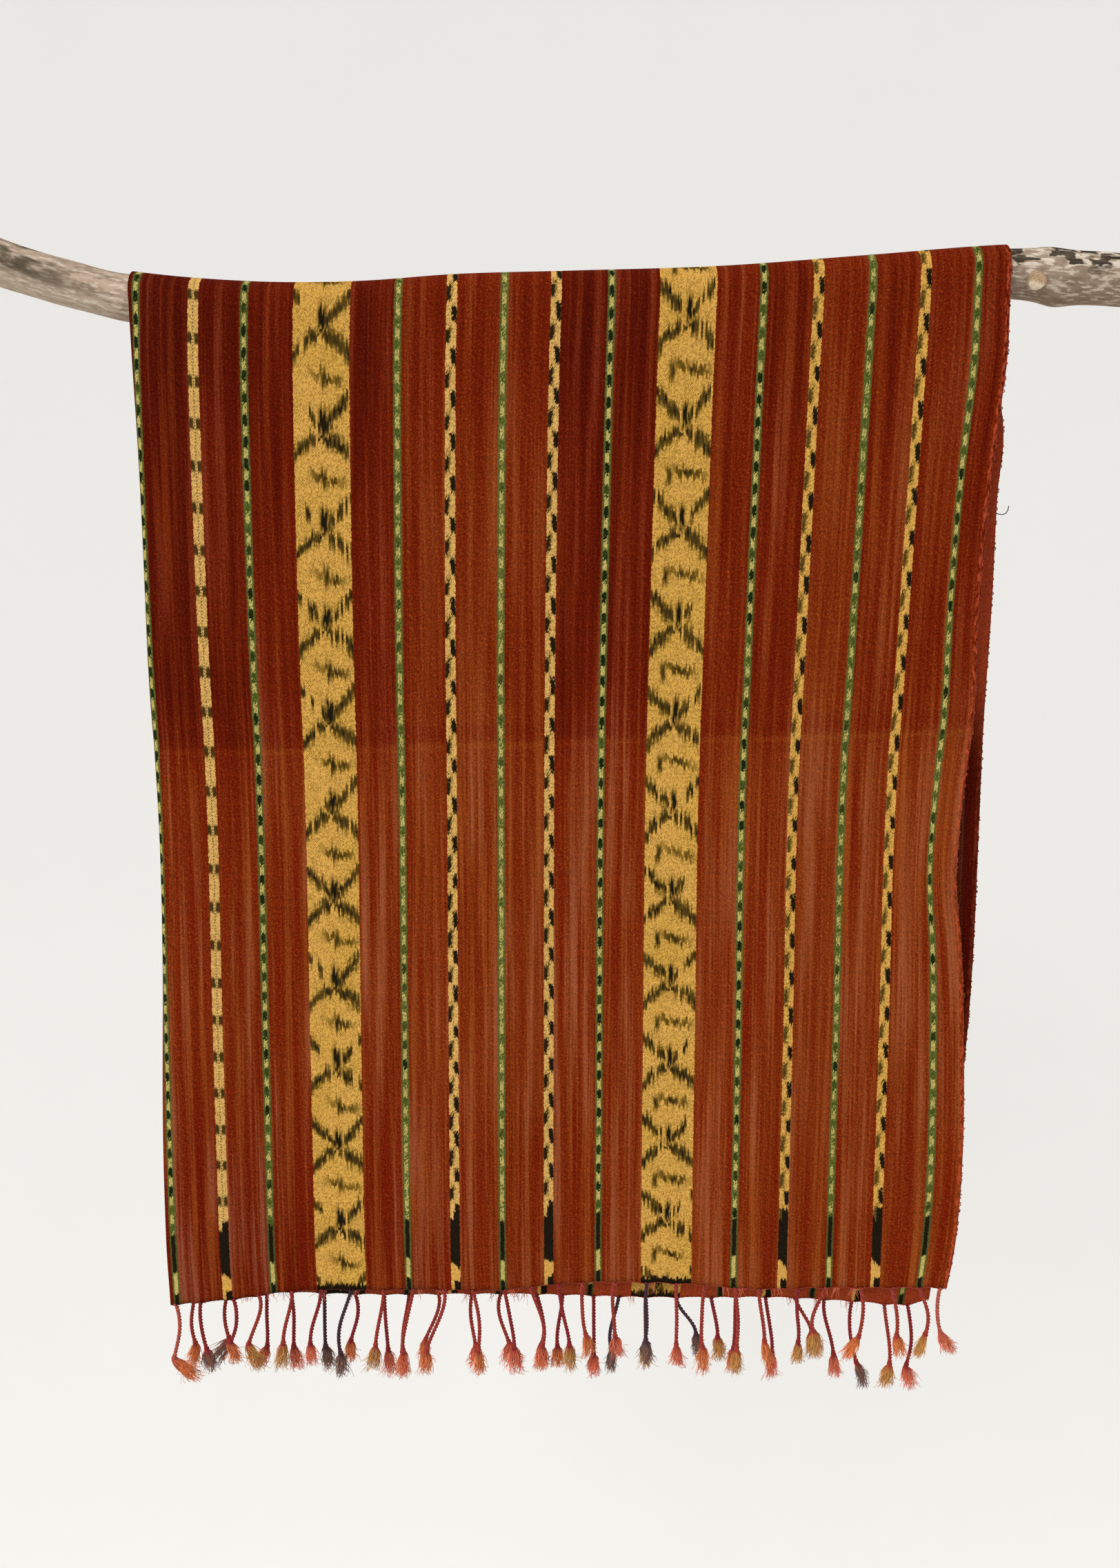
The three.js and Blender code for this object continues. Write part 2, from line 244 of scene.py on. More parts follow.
def tube_faces(strands: int, rings: int, sides: int) -> list[list[int]]:
    """Faces of several closed tubes, each with a flat cap at both ends.

    Args:
        strands: Number of tubes.
        rings: Rings of each tube.
        sides: Points of each ring.

    Returns:
        Vertex numbers of each face.
    """
    base = np.arange(strands)[:, None, None] * rings * sides
    ring = base + np.arange(rings)[None, :, None] * sides
    here = ring + np.arange(sides)[None, None, :]
    turn = ring + (np.arange(sides)[None, None, :] + 1) % sides
    walls = np.stack([here[:, :-1], turn[:, :-1], turn[:, 1:], here[:, 1:]], -1)
    caps = np.concatenate([here[:, 0, ::-1], here[:, -1, :]])
    return walls.reshape(-1, 4).tolist() + caps.tolist()


def tubes(paths: Array, radii: Array, sides: int, across: Sequence[float] = (0.0, 1.0, 0.0)) -> Array:
    """Rings of points around several paths at once.

    Each ring stands square to its path: the path's direction is crossed with a fixed direction
    for one axis of the ring and with that axis for the other.

    Args:
        paths: Points of shape strands, rings, 3.
        radii: Radius of shape strands, rings.
        sides: Points in each ring.
        across: Direction that no path follows.

    Returns:
        Points of shape strands, rings, sides, 3.
    """
    ahead = np.gradient(paths, axis=1)
    ahead /= np.linalg.norm(ahead, axis=-1, keepdims=True)
    first = np.cross(np.broadcast_to(across, ahead.shape), ahead)
    first /= np.linalg.norm(first, axis=-1, keepdims=True)
    second = np.cross(ahead, first)
    angle = 2.0 * math.pi * np.arange(sides) / sides
    reach = np.cos(angle)[:, None] * first[..., None, :] + np.sin(angle)[:, None] * second[..., None, :]
    return paths[..., None, :] + radii[..., None, None] * reach


@dataclass(frozen=True)
class Field:
    """A number that varies over a surface, as one output of a shader node."""

    desk: "Desk"
    socket: bpy.types.NodeSocket

    def __add__(self, other: "Amount") -> "Field":
        """Sum of two amounts."""
        return self.desk.math("ADD", self, other)

    def __sub__(self, other: "Amount") -> "Field":
        """Difference of two amounts."""
        return self.desk.math("SUBTRACT", self, other)

    def __rsub__(self, other: "Amount") -> "Field":
        """Difference of two amounts, the plain number first."""
        return self.desk.math("SUBTRACT", other, self)

    def __mul__(self, other: "Amount") -> "Field":
        """Product of two amounts."""
        return self.desk.math("MULTIPLY", self, other)

    def __truediv__(self, other: "Amount") -> "Field":
        """Quotient of two amounts."""
        return self.desk.math("DIVIDE", self, other)

    def __abs__(self) -> "Field":
        """Size without sign."""
        return self.desk.math("ABSOLUTE", self)

    __radd__ = __add__
    __rmul__ = __mul__

    def floor(self) -> "Field":
        """Whole number at or below."""
        return self.desk.math("FLOOR", self)

    def fract(self) -> "Field":
        """What is left above the whole number below."""
        return self.desk.math("FRACT", self)

    def least(self, other: "Amount") -> "Field":
        """The smaller of two amounts."""
        return self.desk.math("MINIMUM", self, other)

    def most(self, other: "Amount") -> "Field":
        """The larger of two amounts."""
        return self.desk.math("MAXIMUM", self, other)

    def near(self, place: float, reach: float) -> "Field":
        """1 within a reach of a place and 0 elsewhere."""
        return self.desk.math("COMPARE", self, place, reach)

    def over(self, edge: "Amount", soft: float) -> "Field":
        """0 below an edge and 1 above it, with a soft step of the given width."""
        return self.desk.step(self - edge, -soft / 2.0, soft / 2.0)

    def under(self, edge: "Amount", soft: float) -> "Field":
        """1 below an edge and 0 above it, with a soft step of the given width."""
        return self.desk.step(edge - self, -soft / 2.0, soft / 2.0)


Amount = Field | float


class Desk:
    """Lays out the nodes of one finish."""

    def __init__(self, name: str, roughness: float, specular: float = 0.25) -> None:
        """Starts a material with one shader of a plain roughness.

        Args:
            name: Name of the material.
            roughness: Roughness all over.
            specular: Level of the plain reflections.
        """
        self.material = bpy.data.materials.new(name)
        self.material.use_nodes = True
        self.tree = self.material.node_tree
        self.tree.nodes.clear()
        self.shader = self.node("ShaderNodeBsdfPrincipled")
        self.shader.inputs["Roughness"].default_value = roughness
        self.shader.inputs["Specular IOR Level"].default_value = specular
        output = self.node("ShaderNodeOutputMaterial")
        self.tree.links.new(self.shader.outputs["BSDF"], output.inputs["Surface"])

    def node(self, kind: str, **settings: object) -> bpy.types.Node:
        """New node with some of its settings given.

        Args:
            kind: Kind of node.
            settings: Settings by their names.

        Returns:
            The node.
        """
        made = self.tree.nodes.new(kind)
        for name, value in settings.items():
            setattr(made, name, value)
        return made

    def feed(self, socket: bpy.types.NodeSocket, value: object) -> None:
        """Links a field or an output to an input, or sets the input's own value."""
        if isinstance(value, Field):
            self.tree.links.new(value.socket, socket)
        elif isinstance(value, bpy.types.NodeSocket):
            self.tree.links.new(value, socket)
        else:
            socket.default_value = value

    def math(self, operation: str, *amounts: Amount) -> Field:
        """One arithmetic step.

        Args:
            operation: Name of the step.
            amounts: Its amounts in order.

        Returns:
            The result.
        """
        made = self.node("ShaderNodeMath", operation=operation)
        for socket, amount in zip(made.inputs, amounts):
            self.feed(socket, amount)
        return Field(self, made.outputs[0])

    def step(self, amount: Field, low: float, high: float) -> Field:
        """Smooth step from 0 at the low end to 1 at the high end.

        Args:
            amount: What is measured.
            low: Where the step begins.
            high: Where it ends.

        Returns:
            The step.
        """
        made = self.node("ShaderNodeMapRange", interpolation_type="SMOOTHSTEP")
        for socket, value in zip(made.inputs, (amount, low, high, 0.0, 1.0)):
            self.feed(socket, value)
        return Field(self, made.outputs[0])

    def vector(self, first: Amount, second: Amount, third: Amount = 0.0) -> bpy.types.NodeSocket:
        """Vector from three amounts.

        Args:
            first: Its first amount.
            second: Its second amount.
            third: Its third amount.

        Returns:
            The vector.
        """
        made = self.node("ShaderNodeCombineXYZ")
        for socket, amount in zip(made.inputs, (first, second, third)):
            self.feed(socket, amount)
        return made.outputs[0]

    def parts(self, vector: bpy.types.NodeSocket) -> list[Field]:
        """The three amounts of a vector.

        Args:
            vector: The vector.

        Returns:
            Its amounts in order.
        """
        made = self.node("ShaderNodeSeparateXYZ")
        self.feed(made.inputs[0], vector)
        return [Field(self, output) for output in made.outputs]

    def noise(self, vector: bpy.types.NodeSocket, scale: float, detail: float = 2.0) -> Field:
        """Cloudy noise from about 0.2 to 0.8.

        Args:
            vector: Where it is read.
            scale: Clouds to one unit.
            detail: Levels of finer clouds.

        Returns:
            The noise.
        """
        made = self.node("ShaderNodeTexNoise", noise_dimensions="3D")
        self.feed(made.inputs["Vector"], vector)
        made.inputs["Scale"].default_value = scale
        made.inputs["Detail"].default_value = detail
        return Field(self, made.outputs[0])

    def chance(self, first: Amount, second: Amount = 0.0) -> Field:
        """Even chance from 0 to 1 for each pair of whole numbers.

        Args:
            first: The first number.
            second: The second number.

        Returns:
            The chance.
        """
        made = self.node("ShaderNodeTexWhiteNoise", noise_dimensions="2D")
        self.feed(made.inputs["Vector"], self.vector(first, second))
        return Field(self, made.outputs["Value"])

    def bands(self, amount: Field, starts: Sequence[float], levels: Sequence[float]) -> Field:
        """A level that holds from each start to the next.

        Args:
            amount: Where it is read, from 0 to 1.
            starts: Where each level starts.
            levels: The levels.

        Returns:
            The level.
        """
        made = self.node("ShaderNodeValToRGB")
        ramp = made.color_ramp
        ramp.interpolation = "CONSTANT"
        ramp.elements.remove(ramp.elements[1])
        for start, level in zip(starts, levels):
            stop = ramp.elements[0] if start == starts[0] else ramp.elements.new(start)
            stop.position = start
            stop.color = (level, level, level, 1.0)
        self.feed(made.inputs[0], amount)
        return Field(self, made.outputs[0])

    def mix(self, share: Amount, first: object, second: object) -> bpy.types.NodeSocket:
        """Colour part of the way from the first to the second.

        Args:
            share: Share of the second.
            first: A dye, colour or output.
            second: The same.

        Returns:
            The mixed colour.
        """
        made = self.node("ShaderNodeMix", data_type="RGBA")
        for socket, value in ((made.inputs[0], share), (made.inputs[6], first), (made.inputs[7], second)):
            self.feed(socket, value.linear if isinstance(value, Dye) else value)
        return made.outputs[2]

    def shade(self, colour: bpy.types.NodeSocket, brightness: Field) -> bpy.types.NodeSocket:
        """Colour multiplied by a brightness.

        Args:
            colour: The colour.
            brightness: What it is multiplied by.

        Returns:
            The shaded colour.
        """
        made = self.node("ShaderNodeVectorMath", operation="SCALE")
        self.feed(made.inputs[0], colour)
        self.feed(made.inputs["Scale"], brightness)
        return made.outputs[0]

    def finish(self, colour: bpy.types.NodeSocket, height: Field, depth: float) -> bpy.types.Material:
        """Puts a colour and a relief of the given depth in metres on the shader.

        Args:
            colour: Colour of the surface.
            height: Height of the relief, about 0 to 1.
            depth: Depth of the relief in metres.

        Returns:
            The finished material.
        """
        self.feed(self.shader.inputs["Base Color"], colour)
        bump = self.node("ShaderNodeBump")
        bump.inputs["Distance"].default_value = depth
        self.feed(bump.inputs["Height"], height)
        self.feed(self.shader.inputs["Normal"], bump.outputs[0])
        return self.material


@dataclass(frozen=True)
class Clouds:
    """Cloudy noise on the cloth: the size of a cloud in millimetres, its layer and its detail."""

    across: float
    along: float
    layer: float = 0.0
    detail: float = 2.0

    def at(self, desk: Desk, across: Field, along: Field) -> Field:
        """Reads the noise at a place on the cloth.

        Args:
            desk: Desk of the finish.
            across: Place across.
            along: Place along.

        Returns:
            The noise.
        """
        place = desk.vector(across / self.across, along / self.along, self.layer)
        return desk.noise(place, 1.0, self.detail)


@dataclass(frozen=True)
class Grain:
    """Noise drawn out along the branch: waves to a metre along and round it, detail and start."""

    along: float
    around: float
    detail: float
    start: float = 0.0

    def at(self, desk: Desk, along: Field, depth: Field, height: Field) -> Field:
        """Reads the noise at a place on the branch.

        Args:
            desk: Desk of the finish.
            along: Place along the branch.
            depth: Depth behind its axis.
            height: Height above its axis.

        Returns:
            The noise.
        """
        ahead = along * self.along + self.start
        return desk.noise(desk.vector(ahead, depth * self.around, height * self.around), 1.0, self.detail)


@dataclass(frozen=True)
class Stripe:
    """One narrow green stripe.

    It holds its middle in millimetres from the left edge, how strong its dark ties are, and how
    much of its core stays pale.
    """

    middle: float
    ties: float
    pale: float


@dataclass(frozen=True)
class Lay:
    """Where a point lies on the cloth in millimetres, and the threads that it falls on.

    A bundle is a group of warp threads that was dyed together, the feather is how far its dye has
    slipped along, a gap lies between two twill ribs, and a fibre is a raised and faded one.
    """

    across: Field
    along: Field
    drop: Field
    hem: Field
    bundle: Field
    feather: Field
    gap: Field
    fibre: Field


@dataclass(frozen=True)
class IkatWeave:
    """Finish of the cloth: rust ground, wide and narrow tied stripes, twill and faded streaks.

    Sizes are millimetres across from the left edge, along the drape, or up from a hem. An end mark
    is given by its middle and half its height, and the span of the fade from the crease. The reverse
    face is the same weave with painted shade between the crease and the hem and painted light elsewhere.
    """

    name: str
    reverse: bool
    width: float
    front_length: float
    back_length: float
    quarter: float
    crease: float
    lots: tuple[float, ...] = (
        0.14, 0.24, 0.36, 0.32, 0.57, 0.62, 0.58, 0.26, 0.28, 0.52, 0.42, 0.66, 0.52, 0.56, 0.46,
    )
    wide_middles: Pair = (190.8, 551.8)
    wide_half: float = 28.0
    diamonds: Pair = (100.1, 103.5)
    diamond_growths: Pair = (4.6e-7, 8.6e-7)
    diamond_starts: Pair = (27.4, 32.2)
    greens: tuple[Stripe, ...] = (
        Stripe(8.0, 1.0, 0.48),
        Stripe(114.6, 0.80, 0.46),
        Stripe(266.1, 0.38, 0.50),
        Stripe(370.7, 0.30, 0.54),
        Stripe(476.4, 1.0, 0.50),
        Stripe(625.9, 0.90, 0.48),
        Stripe(732.5, 0.42, 0.44),
        Stripe(836.1, 0.66, 0.50),
    )
    yellows: tuple[float, ...] = (64.4, 318.9, 421.6, 679.7, 784.3)
    green_half: float = 3.9
    green_beat: float = 21.5
    yellow_half: float = 5.2
    yellow_beat: float = 41.2
    stripe_reach: float = 14.0
    lane: float = 30.0
    band_divide: float = 372.0
    block_divide: float = 200.0
    late_divide: float = 600.0
    waist: float = 0.42
    green_clear: Pair = (14.0, 38.0)
    green_end: Pair = (60.0, 23.0)
    green_tip: float = 13.0
    yellow_clear: float = 30.0
    yellow_end: Pair = (54.0, 25.0)
    yellow_point: Pair = (80.0, 14.0)
    yellow_tip: float = 12.0
    thread: float = 1.1
    bundle: float = 2.2
    column: float = 5.4
    pick: float = 1.5
    twill: float = 1.8
    weft: float = 1.7
    edge_step: float = 1.4
    edge_lane: float = 20.0
    edge_shift: float = 0.8
    fleck_slant: float = 0.4
    fade_span: Pair = (-70.0, 50.0)
    upper_drops: Pair = (40.0, 220.0)
    corner_drops: Pair = (760.0, 1040.0)
    rim_width: float = 4.5
    relief: float = 0.0005
    slipping: Clouds = Clouds(30.0, 30.0)
    fibres: Clouds = Clouds(1.0, 3.0, 6.0, 1.0)
    slubs: Clouds = Clouds(1.6, 2.2, 2.0)
    fine_streaks: Clouds = Clouds(2.4, 170.0, 0.0, 3.0)
    streaks: Clouds = Clouds(9.0, 420.0, 3.0)
    broad_streaks: Clouds = Clouds(26.0, 300.0, 9.0)
    rim_patches: Clouds = Clouds(3.0, 9.0, 12.0)
    band_sway: Clouds = Clouds(90.0, 22.0, 8.0)
    band_ink: Clouds = Clouds(4.0, 7.0, 5.0)
    band_tone: Clouds = Clouds(40.0, 90.0, 1.0)
    green_flecks: Clouds = Clouds(1.3, 3.2, 7.0)
    green_drift: Clouds = Clouds(85.0, 1.0, 15.0)
    yellow_flecks: Clouds = Clouds(1.4, 3.4, 4.0)

    def material(self) -> bpy.types.Material:
        """Builds the cloth's nodes from the map of millimetres across and along.

        Returns:
            The finished material.
        """
        desk = Desk(self.name, 0.95, 0.02)
        lay = self.read_lay(desk)
        step = (lay.along / self.edge_step).floor()
        shift = desk.chance(step, (lay.across / self.edge_lane).floor()) - 0.5
        ragged = lay.across + shift * self.edge_shift
        colour = self.ground(desk, lay)
        colour = desk.mix(self.wide_mask(ragged), colour, self.wide_bands(desk, lay))
        colour = self.green_stripes(desk, colour, ragged, lay)
        colour = self.yellow_stripes(desk, colour, ragged, lay)
        return self.weave(desk, colour, lay)

    def read_lay(self, desk: Desk) -> Lay:
        """Reads the map and draws the threads: ribs slant up to the right, broken at each crossing.

        Args:
            desk: Desk of the finish.

        Returns:
            Where the point lies.
        """
        place = desk.node("ShaderNodeUVMap", uv_map="lay").outputs[0]
        across, along, _ = desk.parts(place)
        across = across * MM_PER_METRE
        along = along * MM_PER_METRE
        bundle = (across / self.bundle).floor()
        thread = (across / self.thread).floor()
        slow = self.slipping.at(desk, across, along)
        slip = (desk.chance(thread, 1.0) - 0.5) * 4.0 + (desk.chance(bundle, 7.0) - 0.5) * 6.0
        skew = across * 0.75 + along * 0.66
        level = across * 0.66 - along * 0.75
        rib = abs((skew / self.twill).fract() - 0.5) * 2.0
        crossing = desk.chance(thread, (along / self.pick).floor())
        return Lay(
            across=across,
            along=along,
            drop=abs(along) - self.quarter,
            hem=(self.front_length - along).least(along + self.back_length),
            bundle=bundle,
            feather=slip + (slow - 0.5) * 12.0,
            gap=(rib * 0.55 + crossing * 0.75).under(0.42, 0.4),
            fibre=self.fibres.at(desk, skew, level),
        )

    def weave(self, desk: Desk, colour: bpy.types.NodeSocket, lay: Lay) -> bpy.types.Material:
        """Uneven threads both ways, gaps between the ribs that are darker partly by painted shade, and
        their relief.

        Args:
            desk: Desk of the finish.
            colour: Colour of the dyes.
            lay: Where the point lies.

        Returns:
            The finished material.
        """
        weft = desk.chance((lay.along / self.weft).floor(), 3.0)
        slub = self.slubs.at(desk, lay.across, lay.along)
        brightness = (weft - 0.5) * 0.08 + (slub - 0.5) * 0.8 + (lay.fibre - 0.5) * 0.8
        # The gaps between the twill ribs are darker: partly the weave's own colour there, partly painted
        # shade in the recess.
        brightness = brightness - lay.gap * 0.24 + 1.08
        height = slub * 0.5 + lay.fibre * 0.15 - lay.gap * 0.5
        return desk.finish(desk.shade(colour, brightness), height, self.relief)

    def wide_mask(self, across: Field) -> Field:
        """1 on the two wide bands."""
        first = abs(across - self.wide_middles[0]).under(self.wide_half, 0.5)
        return first.most(abs(across - self.wide_middles[1]).under(self.wide_half, 0.5))

    def either(self, second: Field, pair: Pair) -> Field:
        """The first amount on the first wide band and the second amount on the other."""
        return second * (pair[1] - pair[0]) + pair[0]

    def edges(self) -> list[float]:
        """Where each dye lot of the ground begins, hidden under the stripes."""
        greens = [stripe.middle for stripe in self.greens[1:]]
        return [0.0] + sorted([*greens, *self.yellows, *self.wide_middles])

    def ground(self, desk: Desk, lay: Lay) -> bpy.types.NodeSocket:
        """Rust ground.

        One dye lot fills the space between each two stripes. Streaks of several widths along the
        warp and a fade below the crease are added to it, and the sum picks the colour from deep to
        pale. Dusty and deep streaks, raised fibres and a pale right rim are mixed over it.

        Args:
            desk: Desk of the finish.
            lay: Where the point lies.

        Returns:
            Colour of the ground.
        """
        across, along, drop = lay.across, lay.along, lay.drop
        lot = desk.bands(across / self.width, [edge / self.width for edge in self.edges()], self.lots)
        fine = self.fine_streaks.at(desk, across, along)
        streak = self.streaks.at(desk, across, along)
        broad = self.broad_streaks.at(desk, across, along)
        below = desk.step(drop, self.crease + self.fade_span[0], self.crease + self.fade_span[1])
        corner = desk.step(drop, *self.corner_drops) * desk.step(300.0 - across, -250.0, 200.0)
        upper = desk.step(drop, *self.upper_drops) * 0.12 - 0.12
        fade = lot * (1.0 - below * 0.82) + below * 0.57 - corner * 0.28 + upper
        fade = fade + (fine - 0.5) * 0.6 + (streak - 0.5) * (1.1 - below * 0.45) + (broad - 0.5) * 0.6
        bright = abs(drop - self.crease).under(3.0, 5.0) * 0.13
        # Painted shade: a darker band just above the crease; the pale line on the crease itself is wear.
        fade = fade + bright - abs(drop - self.crease + 14.0).under(7.0, 14.0) * 0.12
        # Painted shade: on the reverse face this share darkens the cloth between the crease and about 70
        # mm above the hem; the rest of the reverse face gets painted light further down.
        painted_shade = below * lay.hem.over(70.0, 50.0)
        if self.reverse:
            fade = fade - painted_shade
        colour = desk.mix(desk.step(fade, -0.2, 0.55), Dye.MAROON, Dye.RUSSET)
        colour = desk.mix(desk.step(fade, 0.4, 1.15), colour, Dye.TERRACOTTA)
        dustiness = below * (0.1 if self.reverse else 0.28) + 0.12
        dusty = desk.step(streak * 0.65 + fine * 0.4, 0.48, 0.68) * dustiness
        dust = desk.mix(desk.step(broad, 0.42, 0.6), Dye.DUST, Dye.ASHEN)
        colour = desk.mix(dusty, colour, dust)
        deep = desk.step(0.95 - streak - fine, -0.02, 0.16) * below * 0.25
        colour = desk.mix(deep, colour, Dye.CLARET)
        raised = desk.step(lay.fibre, 0.44, 0.74) * (desk.step(fade, 0.0, 1.0) * 0.5 + 0.1)
        colour = desk.mix(raised, colour, Dye.DUST)
        # Painted light: the reverse face is lifted towards the paler selvedge dye above the crease and
        # near the hem.
        if self.reverse:
            colour = desk.mix((1.0 - painted_shade) * 0.5, colour, Dye.SELVEDGE)
        patches = desk.step(self.rim_patches.at(desk, across, along), 0.4, 0.62)
        rim = across.over(self.width - self.rim_width, 2.5) * patches * (0.2 if self.reverse else 0.75)
        return desk.mix(rim, colour, Dye.SELVEDGE)

    def wide_bands(self, desk: Desk, lay: Lay) -> bpy.types.NodeSocket:
        """Ochre bands with a tied lattice of diamonds.

        Each diamond begins where two arms meet: an arched roof runs from the middle down to the
        edges, a tick and a faint row stand at the waist, and two straight arms run back to the
        middle, where a spike stands. The share of the way through a diamond is set against each of
        these lines, and every bundle of threads is shifted along by its own amount. One arm of the
        two is weak and broken into columns, the left one on the first band.

        Args:
            desk: Desk of the finish.
            lay: Where the point lies.

        Returns:
            Colour of the bands.
        """
        across, bundle = lay.across, lay.bundle
        second = across.over(self.band_divide, 0.1)
        sway = self.band_sway.at(desk, across, lay.drop) - 0.5
        aside = (across - self.either(second, self.wide_middles)) / self.wide_half + sway * 0.3
        spread = abs(aside)
        right = aside.over(0.0, 0.01)
        weak = 1.0 - abs(right - second)
        down = lay.drop + lay.feather - self.either(second, self.diamond_starts)
        growth = down * down * self.either(second, self.diamond_growths)
        turn = down / self.either(second, self.diamonds) + growth + self.waist
        level = turn.fract() - self.waist
        cell = turn.floor()
        patchy = self.band_ink.at(desk, across, lay.drop) * 2.6 - 0.25
        kept = desk.chance(bundle, cell + 11.0).over(0.09, 0.02)
        column = desk.chance((across / self.column).floor(), cell + 71.0).over(0.45, 0.02)
        apart = spread.over(0.14, 0.08)
        roof_half = (right * 0.014 + 0.054) * patchy * (apart * 0.7 + 0.3)
        roof = abs(level - 0.03 - spread * spread * 0.2) / roof_half + (1.0 - kept) * 2.0
        arms = abs(level + spread * 0.3 + 0.06) / ((0.06 - weak * 0.008) * patchy)
        arms = arms + (1.0 - kept) * 2.0 + weak * (1.0 - column) * 9.0 + second * (1.0 - apart) * 2.0
        spike = (abs(aside - 0.04) / (0.12 - second * 0.04)).most(abs(level + 0.13) / 0.1)
        tick = (abs(aside - self.either(second, (0.08, -0.48))) / 0.075).most(abs(level - 0.43) / 0.075)
        row = (abs(aside - 0.2) / 0.52).most(abs(level - self.waist - aside * 0.07) / (patchy * 0.036))
        ink = roof.least(arms).least(spike).least(tick).least(row + 0.2 + (1.0 - column) * 0.7)
        tone = self.band_tone.at(desk, across, lay.drop)
        base = desk.mix(desk.step(tone, 0.35, 0.7) * 0.5, Dye.OCHRE, Dye.MUSTARD)
        # The gaps between the ribs are mixed towards bronze: partly the weave's own colour, partly
        # painted shade in the recess.
        base = desk.mix(lay.gap * 0.55, base, Dye.BRONZE)
        base = desk.mix(row.under(1.1, 1.0) * 0.75, base, Dye.OLIVE)
        strength = desk.chance(bundle, cell + 31.0) * 0.45 + 0.55
        colour = desk.mix(ink.under(1.4, 1.4) * 0.9, base, Dye.OLIVE)
        dark = (ink.under(0.8, 1.2) * strength).most(spike.under(0.9, 0.5))
        colour = desk.mix(dark, colour, Dye.SOOT)
        return desk.mix((lay.hem + lay.feather * 0.8).under(7.0, 3.0), colour, Dye.SOOT)

    def green_stripes(
        self, desk: Desk, under: bpy.types.NodeSocket, across: Field, lay: Lay
    ) -> bpy.types.NodeSocket:
        """Narrow green stripes whose core threads are tied into dark and pale dashes.

        An oval stands on each beat along the stripe. The stripe's ties, chance and a slow drift set
        whether it is dark, moss or left out, and it weakens near the hem. Short slanted flecks between
        the ovals are straw or moss, the odds following the stripe.

        Args:
            desk: Desk of the finish.
            under: Colour beside the stripes.
            across: Place across with ragged edges.
            lay: Where the point lies.

        Returns:
            The colour with the stripes on it.
        """
        nearest: Amount = self.width
        ties: Amount = 0.0
        pale: Amount = 0.0
        for stripe in self.greens:
            nearest = abs(across - stripe.middle).least(nearest)
            here = across.near(stripe.middle, self.stripe_reach)
            ties = desk.math("MULTIPLY_ADD", here, stripe.ties, ties)
            pale = desk.math("MULTIPLY_ADD", here, stripe.pale, pale)
        drop = lay.drop
        hem = lay.hem + lay.feather * 0.5
        fleck = self.green_flecks.at(desk, across + drop * self.fleck_slant, drop)
        count = (drop + (fleck - 0.5) * 7.0) / self.green_beat + pale * 7.0
        beat = (count.fract() - 0.5) * (self.green_beat / 6.0)
        oval = beat * beat + nearest * nearest / 7.5 + (fleck - 0.5) * 3.4
        lane = (across / self.lane).floor()
        luck = desk.chance(count.floor(), lane)
        drift = self.green_drift.at(desk, drop, lane * 7.0)
        tied = ties * 0.75 + (luck - 0.5) * 0.5 + (drift - 0.5) * 1.3
        tied = tied + desk.step(hem, 60.0, 260.0) * 0.3 - 0.3
        mark = oval.under(1.0, 0.4)
        dark = mark * desk.step(tied, 0.3, 0.7)
        beaten = (abs(count.fract() - 0.5) - 0.25) * (ties * 0.5 + 0.1)
        light = desk.step(fleck + (pale - 0.45) * 0.5 + beaten, 0.42, 0.58)
        core = desk.mix(light, Dye.MOSS, Dye.STRAW)
        core = desk.mix(mark * desk.step(tied, -0.2, 0.3) * 0.8, core, Dye.MOSS)
        core = desk.mix(dark, core, Dye.BOTTLE)
        clear = hem.under(self.green_clear[1], 3.0) - hem.under(self.green_clear[0], 2.0)
        core = desk.mix(clear, core, Dye.STRAW)
        ends = self.end_mark(hem, self.green_end).most(hem.under(self.green_tip, 2.0))
        core = desk.mix(ends, core, Dye.SOOT)
        rim = desk.mix(dark * 0.35 + ends * 0.3, Dye.LEAF, Dye.BOTTLE)
        colour = desk.mix(nearest.under(2.1, 0.9), rim, core)
        return desk.mix(nearest.under(self.green_half, 1.5), under, colour)

    def yellow_stripes(
        self, desk: Desk, under: bpy.types.NodeSocket, across: Field, lay: Lay
    ) -> bpy.types.NodeSocket:
        """Narrow ochre stripes, the first in blocks with a dotted middle, the others with dark blots.

        Blots stand on alternate sides. A blot is a block that leans outwards as it goes down, and
        its rim is broken by the threads.

        Args:
            desk: Desk of the finish.
            under: Colour beside the stripes.
            across: Place across with ragged edges.
            lay: Where the point lies.

        Returns:
            The colour with the stripes on it.
        """
        found: Amount = 0.0
        aside: Amount = 0.0
        for middle in self.yellows:
            here = across.near(middle, self.stripe_reach)
            found = here + found
            aside = desk.math("MULTIPLY_ADD", here, across - middle, aside)
        spread = abs(aside) + (1.0 - found) * self.width
        blocks = across.under(self.block_divide, 1.0)
        late = across.over(self.late_divide, 1.0)
        drop = lay.drop + lay.feather * 0.3
        hem = lay.hem + lay.feather * 0.7
        count = drop / self.yellow_beat + late * 0.3 - blocks * 0.21 - 0.19
        beat = count.fract()
        luck = desk.chance((count * 2.0).floor(), (across / (self.lane * 2.0)).floor())
        ink = self.yellow_flecks.at(desk, across + drop * self.fleck_slant, drop)
        gap = abs(beat - 0.5).under(0.13, 0.1) * (spread + ink * 3.0).over(2.8, 1.2)
        dots = spread.under(0.6, 0.5) * (drop / 3.1).fract().under(0.55, 0.3) * 0.72
        tall = luck * 0.06 + 0.18
        ragged = (ink - 0.5) * 1.8
        east = (self.blot(aside, beat - 0.25, tall) + ragged).under(0.95, 0.3)
        west = (self.blot(aside * -1.0 - 0.9, beat - 0.75, tall - 0.01) + ragged).under(0.95, 0.3)
        feather = self.blot(aside * -1.0 + 1.1, beat - 0.71, tall + 0.05)
        feather = feather.least(self.blot(aside + 1.1, beat - 0.21, tall - 0.03)) + ragged * 1.5
